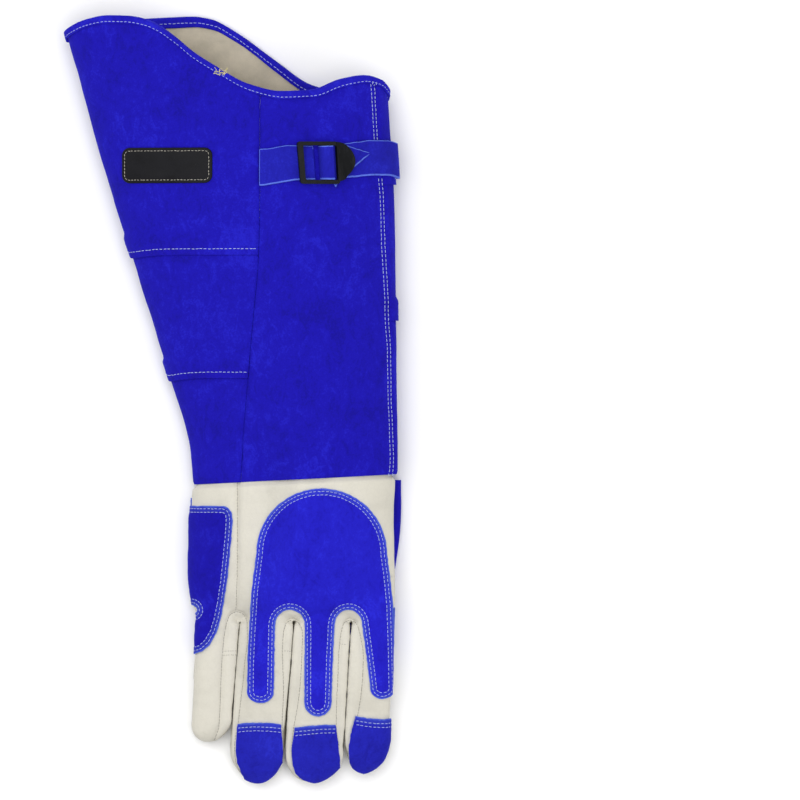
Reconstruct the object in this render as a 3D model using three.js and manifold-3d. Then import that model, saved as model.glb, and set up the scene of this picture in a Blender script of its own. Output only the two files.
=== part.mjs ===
// Animal handling glove for the right hand, lying palm down with its thumb folded flat under the palm.
// Millimetres. X runs from the little finger side to the thumb side, Y from the fingertips to the
// mouth of the cuff, and Z up from the surface that it lies on.

import * as THREE from 'three';
import { mergeVertices } from 'three/addons/utils/BufferGeometryUtils.js';
import Module from 'manifold-3d';

const wasm = await Module();
wasm.setup();

// Thicknesses, and the gap left between pieces that touch
const GAP = 0.3;
const SUEDE = 1.8;
const GRAIN = 1.7;
const PATCH = 1.5;
const LINING = 1.0;
const BINDING = 1.8;
const STRAP = 2.0;

// Sewing allowances
const LAP = 14;
const BINDING_WIDTH = 6;
const WRIST_Y = -62;
const WRIST_SLOPE = 0.05;
const WRIST_PIVOT_X = 50;

// The cuff from above: left and right edge, and how high its back arches over the side folds
const cuffRows = [
  { y: 300, left: -133.7, right: 118.6, arch: 42 },
  { y: 244, left: -118.0, right: 120.8, arch: 42 },
  { y: 204, left: -107.2, right: 123.5, arch: 41 },
  { y: 162, left: -94.7, right: 126.0, arch: 40 },
  { y: 112, left: -78.6, right: 127.2, arch: 37 },
  { y: 24, left: -51.7, right: 128.4, arch: 33 },
  { y: -38, left: -33.6, right: 129.2, arch: 31 },
  { y: -70, left: -30.8, right: 129.2, arch: 30 },
];

// How the whole glove lies: height of the underside, depth from the side folds down to it, and how
// far the thumb below lifts the thumb side, between the two places across where that lift comes in
const lieRows = [
  { y: 300, base: 2.7, depth: 20, lift: 6, from: -80, to: 110 },
  { y: 120, base: 2.7, depth: 15, lift: 9, from: -60, to: 100 },
  { y: -10, base: 2.1, depth: 11, lift: 14, from: -5, to: 72 },
  { y: -62, base: 2.1, depth: 10, lift: 15.5, from: 24, to: 58 },
  { y: -120, base: 2.1, depth: 10.5, lift: 15.5, from: 18, to: 52 },
  { y: -160, base: 2.1, depth: 11, lift: 15.5, from: 4, to: 36 },
  { y: -208, base: 1.6, depth: 11, lift: 15, from: 0, to: 32 },
  { y: -250, base: 0.8, depth: 11, lift: 7.5, from: 0, to: 32 },
  { y: -300, base: 0.2, depth: 10, lift: 0, from: 0, to: 32 },
];

// Back and palm edges of the mouth, from the little finger side to the thumb side
const backRim = [
  { x: -130.9, y: 283 },
  { x: -122.5, y: 290.3 },
  { x: -106.5, y: 297 },
  { x: -90.6, y: 299.6 },
  { x: -74.5, y: 299 },
  { x: -62.6, y: 296.6 },
  { x: -52.6, y: 291.6 },
  { x: -42.6, y: 283.2 },
  { x: -30.6, y: 271.2 },
  { x: -16.7, y: 261.3 },
  { x: 9.4, y: 246 },
  { x: 35, y: 240.3 },
  { x: 60, y: 241.5 },
  { x: 85, y: 250 },
  { x: 103, y: 253 },
  { x: 114, y: 250 },
  { x: 121, y: 242 },
];
const palmRim = [
  { x: -130.9, y: 283 },
  { x: -110, y: 291 },
  { x: -80, y: 297 },
  { x: -42.6, y: 299.4 },
  { x: -26.6, y: 300 },
  { x: -12.7, y: 298 },
  { x: 3.3, y: 289.2 },
  { x: 33.3, y: 265.3 },
  { x: 57.2, y: 247.5 },
  { x: 71.3, y: 243 },
  { x: 95, y: 236 },
  { x: 112, y: 235 },
  { x: 121, y: 242 },
];

// Seams along the cuff: the turned seam and the double stitched seam on the back, and the palm seam
const backSeams = [
  { y: 300, turned: 23.5, stitched: 106 },
  { y: 205, turned: 21, stitched: 111.2 },
  { y: 161, turned: 20, stitched: 117.0 },
  { y: 72, turned: 17, stitched: 120.2 },
  { y: -27, turned: 8, stitched: 125.2 },
  { y: -70, turned: 5, stitched: 126.4 },
];
const palmSeam = [
  { y: 300, part: 0.80 },
  { y: 225, part: 0.785 },
  { y: -62, part: 0.545 },
];

// Lap lines round the little finger side and round the thumb side, each given on the back or
// fold and at the palm seam
const sideLaps = [
  { back: 113, palm: 200 },
  { back: 17, palm: 77 },
];
const palmLaps = [
  { seam: 216, fold: 168 },
  { seam: 118, fold: 62 },
];

// The hand behind the fingers
const handRows = [
  { y: -62, left: -30.8, right: 129.2, arch: 30, drop: 1 },
  { y: -90, left: -32.0, right: 128.8, arch: 29, drop: 1 },
  { y: -120, left: -32.6, right: 128.4, arch: 27, drop: 1 },
  { y: -142, left: -32.2, right: 127.8, arch: 23, drop: 1 },
  { y: -158, left: -31.4, right: 127.2, arch: 18, drop: 1 },
  { y: -167, left: -28, right: 125, arch: 13, drop: 0.85 },
  { y: -173, left: -20, right: 118, arch: 6, drop: 0.4 },
];

// Fingers: middle line and half width at the knuckle and near the tip, and the end of the tip
const KNUCKLE_Y = -138;
const fingers = [
  { name: 'little', x: -9.6, tipX: -18.9, half: 16.6, tipHalf: 15.4, tipY: -267.2 },
  { name: 'ring', x: 29.6, tipX: 17.6, half: 19.9, tipHalf: 20.2, tipY: -298.8 },
  { name: 'middle', x: 73.1, tipX: 61.8, half: 21.5, tipHalf: 21.8, tipY: -298.8 },
  { name: 'index', x: 111.3, tipX: 104.6, half: 16.7, tipHalf: 17.0, tipY: -290.4 },
];
const FINGER_ARCH = 14;
const FINGER_TIP_ARCH = 10;
const TIP_ROUND = 17;
const GUSSET_SEAM = 0.72;
const WRAP_SEAM_X = 4;

// The folded thumb, from the wrist to its tip
const thumbRows = [
  { x: 97, y: -62.6, half: 34.2, height: 15 },
  { x: 95.5, y: -90, half: 34.4, height: 15 },
  { x: 91, y: -122, half: 33.2, height: 15 },
  { x: 80, y: -150, half: 29, height: 14.5 },
  { x: 66, y: -175, half: 24, height: 13.5 },
  { x: 56.5, y: -190, half: 20, height: 12.5 },
  { x: 51, y: -199, half: 15.5, height: 11 },
  { x: 48, y: -205, half: 8, height: 9 },
];

const BLUE = 0x2a26c8;
const CREAM = 0xe3dcc6;

function suede(color = BLUE) {
  return new THREE.MeshStandardMaterial({ color, roughness: 0.95, metalness: 0 });
}

function grainLeather() {
  return new THREE.MeshStandardMaterial({ color: CREAM, roughness: 0.6, metalness: 0 });
}

// Tables and curves

function lerp(a, b, t) {
  return a + (b - a) * t;
}

function smooth(t) {
  const s = Math.min(1, Math.max(0, t));
  return s * s * (3 - 2 * s);
}

// Reads one column of a table along another, straight between rows and level past its ends
function read(rows, key, at, along = 'y') {
  const rising = rows[0][along] < rows[rows.length - 1][along];
  const sorted = rising ? rows : [...rows].reverse();
  if (at <= sorted[0][along]) return sorted[0][key];
  for (let i = 1; i < sorted.length; i += 1) {
    const low = sorted[i - 1];
    const high = sorted[i];
    if (at <= high[along]) {
      return lerp(low[key], high[key], (at - low[along]) / (high[along] - low[along]));
    }
  }
  return sorted[sorted.length - 1][key];
}

// Height of the line that divides back from palm, which the side folds lie on
function foldHeight(x, y) {
  const lie = (key) => read(lieRows, key, y);
  const lifted = smooth((x - lie('from')) / (lie('to') - lie('from')));
  return lie('base') + lie('depth') + lie('lift') * lifted;
}

// The sleeve of the cuff. A turn of 0 is the thumb side fold, then over the back to the little finger
// side fold at half a turn, and back under the palm side. Proud is the distance out of its surface.
const BACK_ROUND = 0.9;
const PALM_ROUND = 0.36;
const RIM_LEVEL = 270;

function sleeveSpan(y, proud) {
  const left = read(cuffRows, 'left', y) - proud;
  const right = read(cuffRows, 'right', y) + proud;
  return { middle: (left + right) / 2, half: (right - left) / 2 };
}

function sleevePoint(turn, y, proud) {
  const angle = turn * 2 * Math.PI;
  const span = sleeveSpan(y, proud);
  const x = span.middle + span.half * Math.cos(angle);
  const lean = Math.abs(Math.sin(angle));
  const fold = foldHeight(x, y);
  if (Math.sin(angle) >= 0) {
    const arch = read(cuffRows, 'arch', y) + proud;
    return new THREE.Vector3(x, y, fold + arch * lean ** BACK_ROUND);
  }
  const depth = fold - read(lieRows, 'base', y) + proud;
  return new THREE.Vector3(x, y, fold - depth * lean ** PALM_ROUND);
}

function turnOnBack(x, y) {
  const span = sleeveSpan(y, 0);
  const reach = Math.min(1, Math.max(-1, (x - span.middle) / span.half));
  return Math.acos(reach) / (2 * Math.PI);
}

function turnOnPalm(x, y) {
  return 1 - turnOnBack(x, y);
}

function rimY(turn) {
  const wrapped = ((turn % 1) + 1) % 1;
  const rim = wrapped < 0.5 ? backRim : palmRim;
  const span = sleeveSpan(RIM_LEVEL, 0);
  const x = span.middle + span.half * Math.cos(wrapped * 2 * Math.PI);
  return read(rim, 'y', x, 'x');
}

function wristY(x) {
  return WRIST_Y + WRIST_SLOPE * (x - WRIST_PIVOT_X);
}

// Closed bodies from grids of points

function bodyFrom(points, faces) {
  let volume = 0;
  for (const [a, b, c] of faces) {
    volume += points[a].dot(new THREE.Vector3().crossVectors(points[b], points[c]));
  }
  const index = faces.flatMap(([a, b, c]) => (volume > 0 ? [a, b, c] : [a, c, b]));
  const geometry = new THREE.BufferGeometry();
  const numbers = points.flatMap((p) => p.toArray());
  geometry.setAttribute('position', new THREE.Float32BufferAttribute(numbers, 3));
  geometry.setIndex(index);
  return geometry;
}

// A wall between an outer and an inner surface, both functions of u and v from 0 to 1
function wall(columns, rows, outer, inner) {
  const points = [];
  const faces = [];
  for (const surface of [outer, inner]) {
    for (let j = 0; j <= rows; j += 1) {
      for (let i = 0; i <= columns; i += 1) points.push(surface(i / columns, j / rows));
    }
  }
  const layer = (columns + 1) * (rows + 1);
  const at = (side, i, j) => side * layer + j * (columns + 1) + i;
  const quad = (a, b, c, d) => faces.push([a, b, c], [a, c, d]);
  for (let j = 0; j < rows; j += 1) {
    for (let i = 0; i < columns; i += 1) {
      quad(at(0, i, j), at(0, i + 1, j), at(0, i + 1, j + 1), at(0, i, j + 1));
      quad(at(1, i, j), at(1, i, j + 1), at(1, i + 1, j + 1), at(1, i + 1, j));
    }
  }
  for (let i = 0; i < columns; i += 1) {
    quad(at(0, i, 0), at(1, i, 0), at(1, i + 1, 0), at(0, i + 1, 0));
    quad(at(0, i, rows), at(0, i + 1, rows), at(1, i + 1, rows), at(1, i, rows));
  }
  for (let j = 0; j < rows; j += 1) {
    quad(at(0, 0, j), at(0, 0, j + 1), at(1, 0, j + 1), at(1, 0, j));
    quad(at(0, columns, j), at(1, columns, j), at(1, columns, j + 1), at(0, columns, j + 1));
  }
  return bodyFrom(points, faces);
}

// Rings of equally many points joined in turn. The ends are closed with a fan, or the last ring is
// joined to the first.
function loft(rings, joinEnds = false) {
  const count = rings[0].length;
  const points = rings.flat();
  const faces = [];
  const spans = joinEnds ? rings.length : rings.length - 1;
  for (let r = 0; r < spans; r += 1) {
    const next = (r + 1) % rings.length;
    for (let i = 0; i < count; i += 1) {
      const j = (i + 1) % count;
      const a = r * count + i;
      const b = r * count + j;
      const c = next * count + j;
      const d = next * count + i;
      faces.push([a, b, c], [a, c, d]);
    }
  }
  if (!joinEnds) {
    const total = (ring) => ring.reduce((sum, p) => sum.add(p), new THREE.Vector3());
    const middle = (ring) => total(ring).divideScalar(count);
    const first = points.length;
    points.push(middle(rings[0]), middle(rings[rings.length - 1]));
    const last = (rings.length - 1) * count;
    for (let i = 0; i < count; i += 1) {
      const j = (i + 1) % count;
      faces.push([first, j, i], [first + 1, last + i, last + j]);
    }
  }
  return bodyFrom(points, faces);
}

// A prism over an outline seen from above
function prism(outline, low = -20, high = 120) {
  const shape = new THREE.Shape(outline.map(([x, y]) => new THREE.Vector2(x, y)));
  const geometry = new THREE.ExtrudeGeometry(shape, { depth: high - low, bevelEnabled: false });
  return geometry.translate(0, 0, low);
}

// Outline points along an arc, angles in degrees
function arc(x, y, radiusX, radiusY, start, end, steps = 6) {
  return Array.from({ length: steps + 1 }, (_, i) => {
    const angle = THREE.MathUtils.degToRad(lerp(start, end, i / steps));
    return [x + radiusX * Math.cos(angle), y + radiusY * Math.sin(angle)];
  });
}

function toSolid(geometry, tolerance = 1e-4) {
  const plain = geometry.clone();
  plain.deleteAttribute('normal');
  plain.deleteAttribute('uv');
  const merged = mergeVertices(plain, tolerance);
  return new wasm.Manifold(new wasm.Mesh({
    numProp: 3,
    vertProperties: new Float32Array(merged.attributes.position.array),
    triVerts: new Uint32Array(merged.index.array),
  }));
}

function geometryOf(solid) {
  const mesh = solid.getMesh();
  const geometry = new THREE.BufferGeometry();
  geometry.setAttribute('position', new THREE.BufferAttribute(mesh.vertProperties, 3));
  geometry.setIndex(new THREE.BufferAttribute(mesh.triVerts, 1));
  return geometry;
}

// The largest body of a cut, without the shavings that the cut may leave beside it
function mainBody(solid) {
  return solid.decompose().reduce((best, body) => (body.volume() > best.volume() ? body : best));
}

// A cut piece as a mesh, its points merged to a thousandth of a millimetre
function fromSolid(solid) {
  const merged = toSolid(geometryOf(mainBody(solid)), 1e-3);
  return geometryOf(mainBody(merged));
}

const glove = new THREE.Group();

function addPiece(name, geometry, material) {
  const shown = geometry.index ? geometry.toNonIndexed() : geometry;
  shown.computeVertexNormals();
  const mesh = new THREE.Mesh(shown, material);
  mesh.name = name;
  glove.add(mesh);
}

// Cuff. A hollow sleeve is cut along its seams, and each upper panel gets a lip that laps over the
// panel below it.
const RING_STEPS = 24;
const FAR = 400;

const panelTop = (turn) => rimY(turn) - BINDING - 2 * GAP;
const panelBottom = (turn) => wristY(sleevePoint(turn, WRIST_Y, 0).x);

// Closed band of the sleeve at one offset, through rows whose height depends on the turn. Its ends
// run in across the wall, a little recessed, before they close.
const END_RUN = 9;

function bandSolid(proud, rows, recess = 2) {
  const ring = (heightAt, offset, step) => Array.from({ length: RING_STEPS }, (_, i) => (
    sleevePoint(i / RING_STEPS, heightAt(i / RING_STEPS) + step, offset)));
  const rings = rows.map((heightAt) => ring(heightAt, proud, 0));
  rings.unshift(ring(rows[0], proud - END_RUN, recess));
  rings.push(ring(rows[rows.length - 1], proud - END_RUN, -recess));
  return toSolid(loft(rings));
}

const belowRim = (step) => (turn) => rimY(turn) - step;
const bindingEdge = belowRim(BINDING_WIDTH);

// The sleeve from wrist to rim, or only from a part of the way up. Its ends may run on past the
// panels, to leave a cut open.
const RUN = 12;
const sleeveRows = [0, 0.24, 0.66, 1];

function sleeveSolid(proud, run = 0, from = 0) {
  const rows = sleeveRows.filter((v) => v >= from)
    .map((v) => (turn) => lerp(panelBottom(turn), bindingEdge(turn), v));
  const lowest = rows[0];
  rows.push(panelTop);
  if (run) rows.unshift((turn) => lowest(turn) - run);
  if (run) rows.push((turn) => panelTop(turn) + run);
  return bandSolid(proud, rows);
}

const turnedLine = backSeams.map(({ y, turned }) => [turned, y]);
const stitchedLine = backSeams.map(({ y, stitched }) => [stitched, y]);
function palmSeamX(y) {
  const span = sleeveSpan(y, 0);
  return span.middle - span.half + 2 * span.half * read(palmSeam, 'part', y);
}
const palmLine = [300, 225, 160, 100, 20, -70].map((y) => [palmSeamX(y), y]);

// Everything on one side of a seam line seen from above, short of it by a gap
function beside(line, side, gap) {
  const shifted = line.map(([x, y]) => [x + side * gap, y]);
  const first = shifted[0];
  const last = shifted[shifted.length - 1];
  return toSolid(prism([
    [side * FAR, FAR], [first[0], FAR], ...shifted, [last[0], -FAR], [side * FAR, -FAR],
  ]));
}

// Everything between two straight lines across, each given by its height at two places
function across(low, high) {
  const at = (line, x) => lerp(line.y, line.toY, (x - line.x) / (line.toX - line.x));
  return toSolid(prism([
    [-FAR, at(low, -FAR)], [FAR, at(low, FAR)], [FAR, at(high, FAR)], [-FAR, at(high, -FAR)],
  ]));
}

const shifted = (line, step) => ({ ...line, y: line.y + step, toY: line.toY + step });
const level = (y) => ({ x: -100, y, toX: 100, toY: y });
const farTop = level(3 * FAR);
const farBottom = level(-3 * FAR);

// Divider that runs in the hollow, clear of both the back and the palm side
const DIVIDER = 20;
const everywhere = [[-FAR, -FAR], [FAR, -FAR], [FAR, FAR], [-FAR, FAR]];
const palmSide = toSolid(prism(everywhere, -50, DIVIDER));
const backSide = toSolid(prism(everywhere, DIVIDER, 150));

const sideLapLines = sideLaps.map(({ back, palm }) => ({
  back: level(back),
  palm: { x: read(cuffRows, 'left', back), y: back, toX: palmSeamX(palm), toY: palm },
}));
const palmLapLines = palmLaps.map(({ seam, fold }) => ({
  back: level(fold),
  palm: { x: palmSeamX(seam), y: seam, toX: read(cuffRows, 'right', fold), toY: fold },
}));

const sleeveWall = sleeveSolid(0).subtract(sleeveSolid(-SUEDE, RUN));
const lipWall = sleeveSolid(GAP + SUEDE).subtract(sleeveSolid(GAP, RUN));
const lipRoot = sleeveSolid(GAP + SUEDE).subtract(sleeveSolid(-SUEDE, RUN));
const LIP_ROOT = 3;

// A panel takes its own side of the seams on the back and palm sides. Low and high are its lap
// lines; the panel stops a lap above the low one, where its lip takes over.
function cuffPanel(name, seams, low, high, pressed) {
  const cut = (wallSolid, from, to) => {
    const onBackSide = wallSolid.intersect(seams.back).intersect(backSide)
      .intersect(across(from.back, to.back));
    const onPalmSide = wallSolid.intersect(seams.palm).intersect(palmSide)
      .intersect(across(from.palm, to.palm));
    return onBackSide.add(onPalmSide);
  };
  const moved = (lines, step) => ({ back: shifted(lines.back, step), palm: shifted(lines.palm, step) });
  const ends = { back: farTop, palm: farTop };
  const starts = { back: farBottom, palm: farBottom };
  const top = high ? moved(high, LAP - GAP) : ends;
  let solid = cut(sleeveWall, low ? moved(low, LAP) : starts, top);
  if (low) {
    solid = solid.add(cut(lipWall, low, moved(low, LAP + LIP_ROOT)));
    solid = solid.add(cut(lipRoot, moved(low, LAP), moved(low, LAP + LIP_ROOT)));
  }
  if (pressed) solid = solid.subtract(pressed);
  addPiece(name, fromSolid(solid), suede());
}

const seamGap = GAP / 2;
addPiece('cuff_back_panel', fromSolid(sleeveWall.intersect(backSide)
  .intersect(beside(turnedLine, 1, seamGap)).intersect(beside(stitchedLine, -1, seamGap))), suede());

const sideSeams = { back: beside(turnedLine, -1, seamGap), palm: beside(palmLine, -1, seamGap) };
cuffPanel('cuff_side_upper', sideSeams, sideLapLines[0], null);
cuffPanel('cuff_side_middle', sideSeams, sideLapLines[1], sideLapLines[0]);
cuffPanel('cuff_side_lower', sideSeams, null, sideLapLines[1]);

// Where the strap goes round the thumb side fold it presses the lap flat
const strapBand = { low: 165, high: 198 };
const underStrap = sleeveSolid(SUEDE + STRAP + 1).subtract(sleeveSolid(0))
  .intersect(across(level(strapBand.low - GAP), level(strapBand.high + GAP)));

const palmSeams = { back: beside(stitchedLine, 1, seamGap), palm: beside(palmLine, 1, seamGap) };
cuffPanel('cuff_palm_upper', palmSeams, palmLapLines[0], null, underStrap);
cuffPanel('cuff_palm_middle', palmSeams, palmLapLines[1], palmLapLines[0]);
cuffPanel('cuff_palm_lower', palmSeams, null, palmLapLines[1]);

const liningOuter = -(SUEDE + GAP);
const liningInner = liningOuter - LINING;
const liningFrom = sleeveRows[2];
const liningSkin = sleeveSolid(liningOuter, 0, liningFrom)
  .subtract(sleeveSolid(liningInner, RUN, liningFrom));
addPiece('cuff_lining', fromSolid(liningSkin),
  new THREE.MeshStandardMaterial({ color: 0xb9ae99, roughness: 0.95, metalness: 0 }));

// Rim binding, folded over the edges of the panels and the lining
const bindingInner = liningInner - GAP - BINDING;
const SLOT_RUN = 5;
const SLOT_EASE = 0.2;
const slotLow = belowRim(BINDING_WIDTH + SLOT_RUN);
const aboveRim = belowRim(-SLOT_RUN);
const slotRows = [slotLow, bindingEdge, belowRim(BINDING)];
const bindingSlot = bandSolid(GAP, slotRows, -2)
  .subtract(bandSolid(liningInner - GAP - SLOT_EASE, [...slotRows, aboveRim]));
addPiece('rim_binding', fromSolid(bandSolid(GAP + BINDING, [bindingEdge, belowRim(0)])
  .subtract(bandSolid(bindingInner, [slotLow, aboveRim]))
  .subtract(bindingSlot)), suede());

// Label patch on the back: rings of its rounded outline drawn in to the middle
const label = { left: -86.1, right: -16.4, low: 169.9, high: 197.3, corner: 6 };

function roundedOutline(box, steps) {
  const { left, right, low, high, corner: r } = box;
  return [
    ...arc(right - r, high - r, r, r, 0, 90, steps),
    ...arc(left + r, high - r, r, r, 90, 180, steps),
    ...arc(left + r, low + r, r, r, 180, 270, steps),
    ...arc(right - r, low + r, r, r, 270, 360, steps),
  ];
}

const labelSkin = sleeveSolid(GAP + PATCH).subtract(sleeveSolid(GAP, RUN)).intersect(backSide);
addPiece('label_patch', fromSolid(labelSkin.intersect(toSolid(prism(roundedOutline(label, 3))))),
  new THREE.MeshStandardMaterial({ color: 0x17181a, roughness: 0.7, metalness: 0 }));

// The strap and buckle are laid out flat, s along the strap round the sleeve and h above the
// sleeve, then wrapped onto it. s is 0 at the thumb side fold and grows over the back.
const STRAP_Y = 184;
const wrapTable = [];
{
  const steps = 720;
  let length = 0;
  let last = sleevePoint(-0.5, STRAP_Y, 0);
  for (let i = 0; i <= steps; i += 1) {
    const turn = lerp(-0.5, 0.5, i / steps);
    const point = sleevePoint(turn, STRAP_Y, 0);
    length += point.distanceTo(last);
    last = point;
    wrapTable.push({ turn, length, x: point.x });
  }
  const atFold = read(wrapTable, 'length', 0, 'turn');
  for (const row of wrapTable) row.length -= atFold;
}
const alongAtTurn = (turn) => read(wrapTable, 'length', turn, 'turn');
const alongAtX = (x) => alongAtTurn(turnOnBack(x, STRAP_Y));

function wrapped(s, y, h) {
  return sleevePoint(read(wrapTable, 'turn', s, 'length'), y, h);
}

// A strap of even thickness along a path of { s, h, y, half } stations
function strap(path) {
  const section = (station, i) => {
    const before = path[Math.max(0, i - 1)];
    const after = path[Math.min(path.length - 1, i + 1)];
    const direction = new THREE.Vector2(after.s - before.s, after.h - before.h).normalize();
    const side = new THREE.Vector2(-direction.y, direction.x).multiplyScalar(STRAP / 2);
    const corner = (sign, edge) => wrapped(
      station.s + sign * side.x, station.y + edge * station.half, station.h + sign * side.y);
    return [corner(1, -1), corner(1, 0), corner(1, 1), corner(-1, 1), corner(-1, 0), corner(-1, -1)];
  };
  return loft(path.map(section));
}

const STRAP_GAP = 0.7;
const LAYER_1 = STRAP_GAP + STRAP / 2;
const LAYER_2 = LAYER_1 + STRAP + GAP;

// Where the buckle's parts lie across the back, from its first bar to its tab
const buckle = { low: 168.9, high: 201, rail: 4.0, deep: 2.4, tab: alongAtX(94.4), tabRise: 0.6 };
const firstBar = { from: alongAtX(50.9), to: alongAtX(55.6) };
const middleBar = { from: alongAtX(71.5), to: alongAtX(75.5) };
const lastBar = { from: alongAtX(81.2), to: alongAtX(86.6) };
const BAR_LOW = LAYER_2 + STRAP / 2 + GAP;
const BAR_HIGH = BAR_LOW + buckle.deep;
const windowY = (buckle.low + buckle.high) / 2;

// Half widths of the strap: where it starts at the turned seam, and through the buckle
const rootHalf = 14.4;
const windowHalf = 11.6;

// The strap half sewn into the turned seam, up to the buckle's middle
const anchor = { start: alongAtX(24.5), startY: 180, end: alongAtX(66), steps: 7 };
addPiece('strap_anchor', strap(Array.from({ length: anchor.steps + 1 }, (_, i) => {
  const t = i / anchor.steps;
  return {
    s: lerp(anchor.start, anchor.end, t),
    h: LAYER_1,
    y: lerp(anchor.startY, windowY, t),
    half: lerp(rootHalf, windowHalf, t),
  };
})), suede());

// The other half: from the palm seam round the thumb side fold, over the middle bar and back under
// the last bar to its pointed free end
const strapY = (strapBand.low + strapBand.high) / 2;
const strapHalf = (strapBand.high - strapBand.low) / 2;
const tailStart = alongAtTurn(-turnOnBack(palmSeamX(STRAP_Y), STRAP_Y)) + 1.5;
const taperStart = alongAtX(112);
const TAPER_STEPS = 5;
const tailPath = [{ s: tailStart, h: LAYER_1, y: strapY, half: strapHalf }];
for (let turn = -0.5; turn < 0.5; turn += 0.5 / RING_STEPS) {
  const s = alongAtTurn(turn);
  if (s > tailStart + 2 && s < taperStart - 2) {
    tailPath.push({ s, h: LAYER_1, y: strapY, half: strapHalf });
  }
}
for (let i = 0; i <= TAPER_STEPS; i += 1) {
  const t = i / TAPER_STEPS;
  tailPath.push({
    s: lerp(taperStart, middleBar.to + 1, t),
    h: LAYER_1,
    y: lerp(strapY, windowY, t),
    half: lerp(strapHalf, windowHalf, t),
  });
}
const overBar = BAR_HIGH + STRAP_GAP + STRAP / 2;
const loopEdge = middleBar.from + STRAP / 2 + GAP;
tailPath.push(
  { s: middleBar.from, h: LAYER_1, y: windowY, half: windowHalf },
  { s: loopEdge, h: lerp(LAYER_1, overBar, 0.3), y: windowY, half: windowHalf },
  { s: loopEdge, h: lerp(LAYER_1, overBar, 0.75), y: windowY, half: windowHalf },
  { s: middleBar.from, h: overBar, y: windowY, half: windowHalf },
  { s: alongAtX(76.6), h: overBar + 0.3, y: windowY, half: windowHalf },
  { s: alongAtX(80.8), h: LAYER_2 + 0.1, y: windowY, half: windowHalf },
  { s: alongAtX(84), h: LAYER_2, y: windowY, half: windowHalf },
  { s: alongAtX(93), h: LAYER_2, y: 183, half: 12 },
  { s: alongAtX(103), h: LAYER_2, y: 186, half: 6.5 },
  { s: alongAtX(108.5), h: LAYER_2, y: 189.6, half: 1.2 },
);
addPiece('strap_tail', strap(tailPath), suede());

// The buckle: a frame with a window at each side of its middle bar, and a rounded tab
function barBlock(from, to, low, high) {
  const steps = 6;
  const ring = (i) => {
    const s = lerp(from, to, i / steps);
    return [[low, BAR_LOW], [high, BAR_LOW], [high, BAR_HIGH], [low, BAR_HIGH]]
      .map(([y, h]) => new THREE.Vector3(s, y, h));
  };
  return toSolid(loft(Array.from({ length: steps + 1 }, (_, i) => ring(i))));
}

function buckleSolid() {
  const { low, high, rail } = buckle;
  const tabShoulder = lerp(lastBar.to, buckle.tab, 0.75);
  const tabOutline = [
    [lastBar.from, low + 1], [lastBar.to, low + 2.5], [tabShoulder, 180], [buckle.tab, 183.5],
    [buckle.tab, 189.5], [tabShoulder, 193], [lastBar.to, high - 1.5], [lastBar.from, high - 0.5],
  ];
  const tab = toSolid(prism(tabOutline, BAR_LOW, BAR_HIGH + buckle.tabRise));
  return [
    barBlock(firstBar.from, lastBar.from, low, low + rail),
    barBlock(firstBar.from, lastBar.from, high - rail, high),
    barBlock(firstBar.from, firstBar.to, low, high),
    barBlock(middleBar.from, middleBar.to, low, high),
  ].reduce((sum, solid) => sum.add(solid), tab);
}

function wrapGeometry(geometry) {
  const position = geometry.attributes.position;
  const points = Array.from({ length: position.count }, (_, i) => (
    wrapped(position.getX(i), position.getY(i), position.getZ(i))));
  const faces = [];
  for (let i = 0; i < geometry.index.count; i += 3) {
    faces.push([geometry.index.getX(i), geometry.index.getX(i + 1), geometry.index.getX(i + 2)]);
  }
  return bodyFrom(points, faces);
}

addPiece('buckle', wrapGeometry(fromSolid(buckleSolid())),
  new THREE.MeshStandardMaterial({ color: 0x101214, roughness: 0.45, metalness: 0 }));

// Hanging loop, a leather strip that stands out of the mouth at the palm rim
const loop = {
  x: 99, half: 11, length: 26, width: 10, thick: 1.8, rise: 12, inset: 12, sweep: 1.52 * Math.PI, steps: 16,
};

function hangingLoop() {
  const rootY = rimY(turnOnPalm(loop.x, RIM_LEVEL)) - loop.inset;
  const floorAt = (x) => sleevePoint(turnOnPalm(x, rootY), rootY, bindingInner - 1).z;
  const station = (t) => {
    const angle = (t - 0.5) * loop.sweep;
    return new THREE.Vector2(Math.sin(angle) * loop.half, loop.length * (1 + Math.cos(angle)) / 2);
  };
  const rings = Array.from({ length: loop.steps + 1 }, (_, i) => {
    const here = station(i / loop.steps);
    const ahead = station(Math.min(1, (i + 0.5) / loop.steps));
    const behind = station(Math.max(0, (i - 0.5) / loop.steps));
    const side = ahead.sub(behind).normalize().rotateAround(new THREE.Vector2(), Math.PI / 2);
    const thick = side.multiplyScalar(loop.thick / 2);
    const floor = floorAt(loop.x + here.x) + loop.rise * (here.y / loop.length);
    const corner = (sign, lift) => new THREE.Vector3(
      loop.x + here.x + sign * thick.x, rootY + here.y + sign * thick.y, floor + lift * loop.width);
    return [corner(1, 0), corner(1, 1), corner(-1, 1), corner(-1, 0)];
  });
  return loft(rings);
}
addPiece('hanging_loop', hangingLoop(), suede());

// The hand: a hollow skin that is then cut along its seams

const HAND_STEPS = 18;
const FINGER_STEPS = 12;
const HAND_PALM_ROUND = 0.5;
const FINGER_BACK_ROUND = 0.85;
const FINGER_PALM_ROUND = 0.6;

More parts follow.
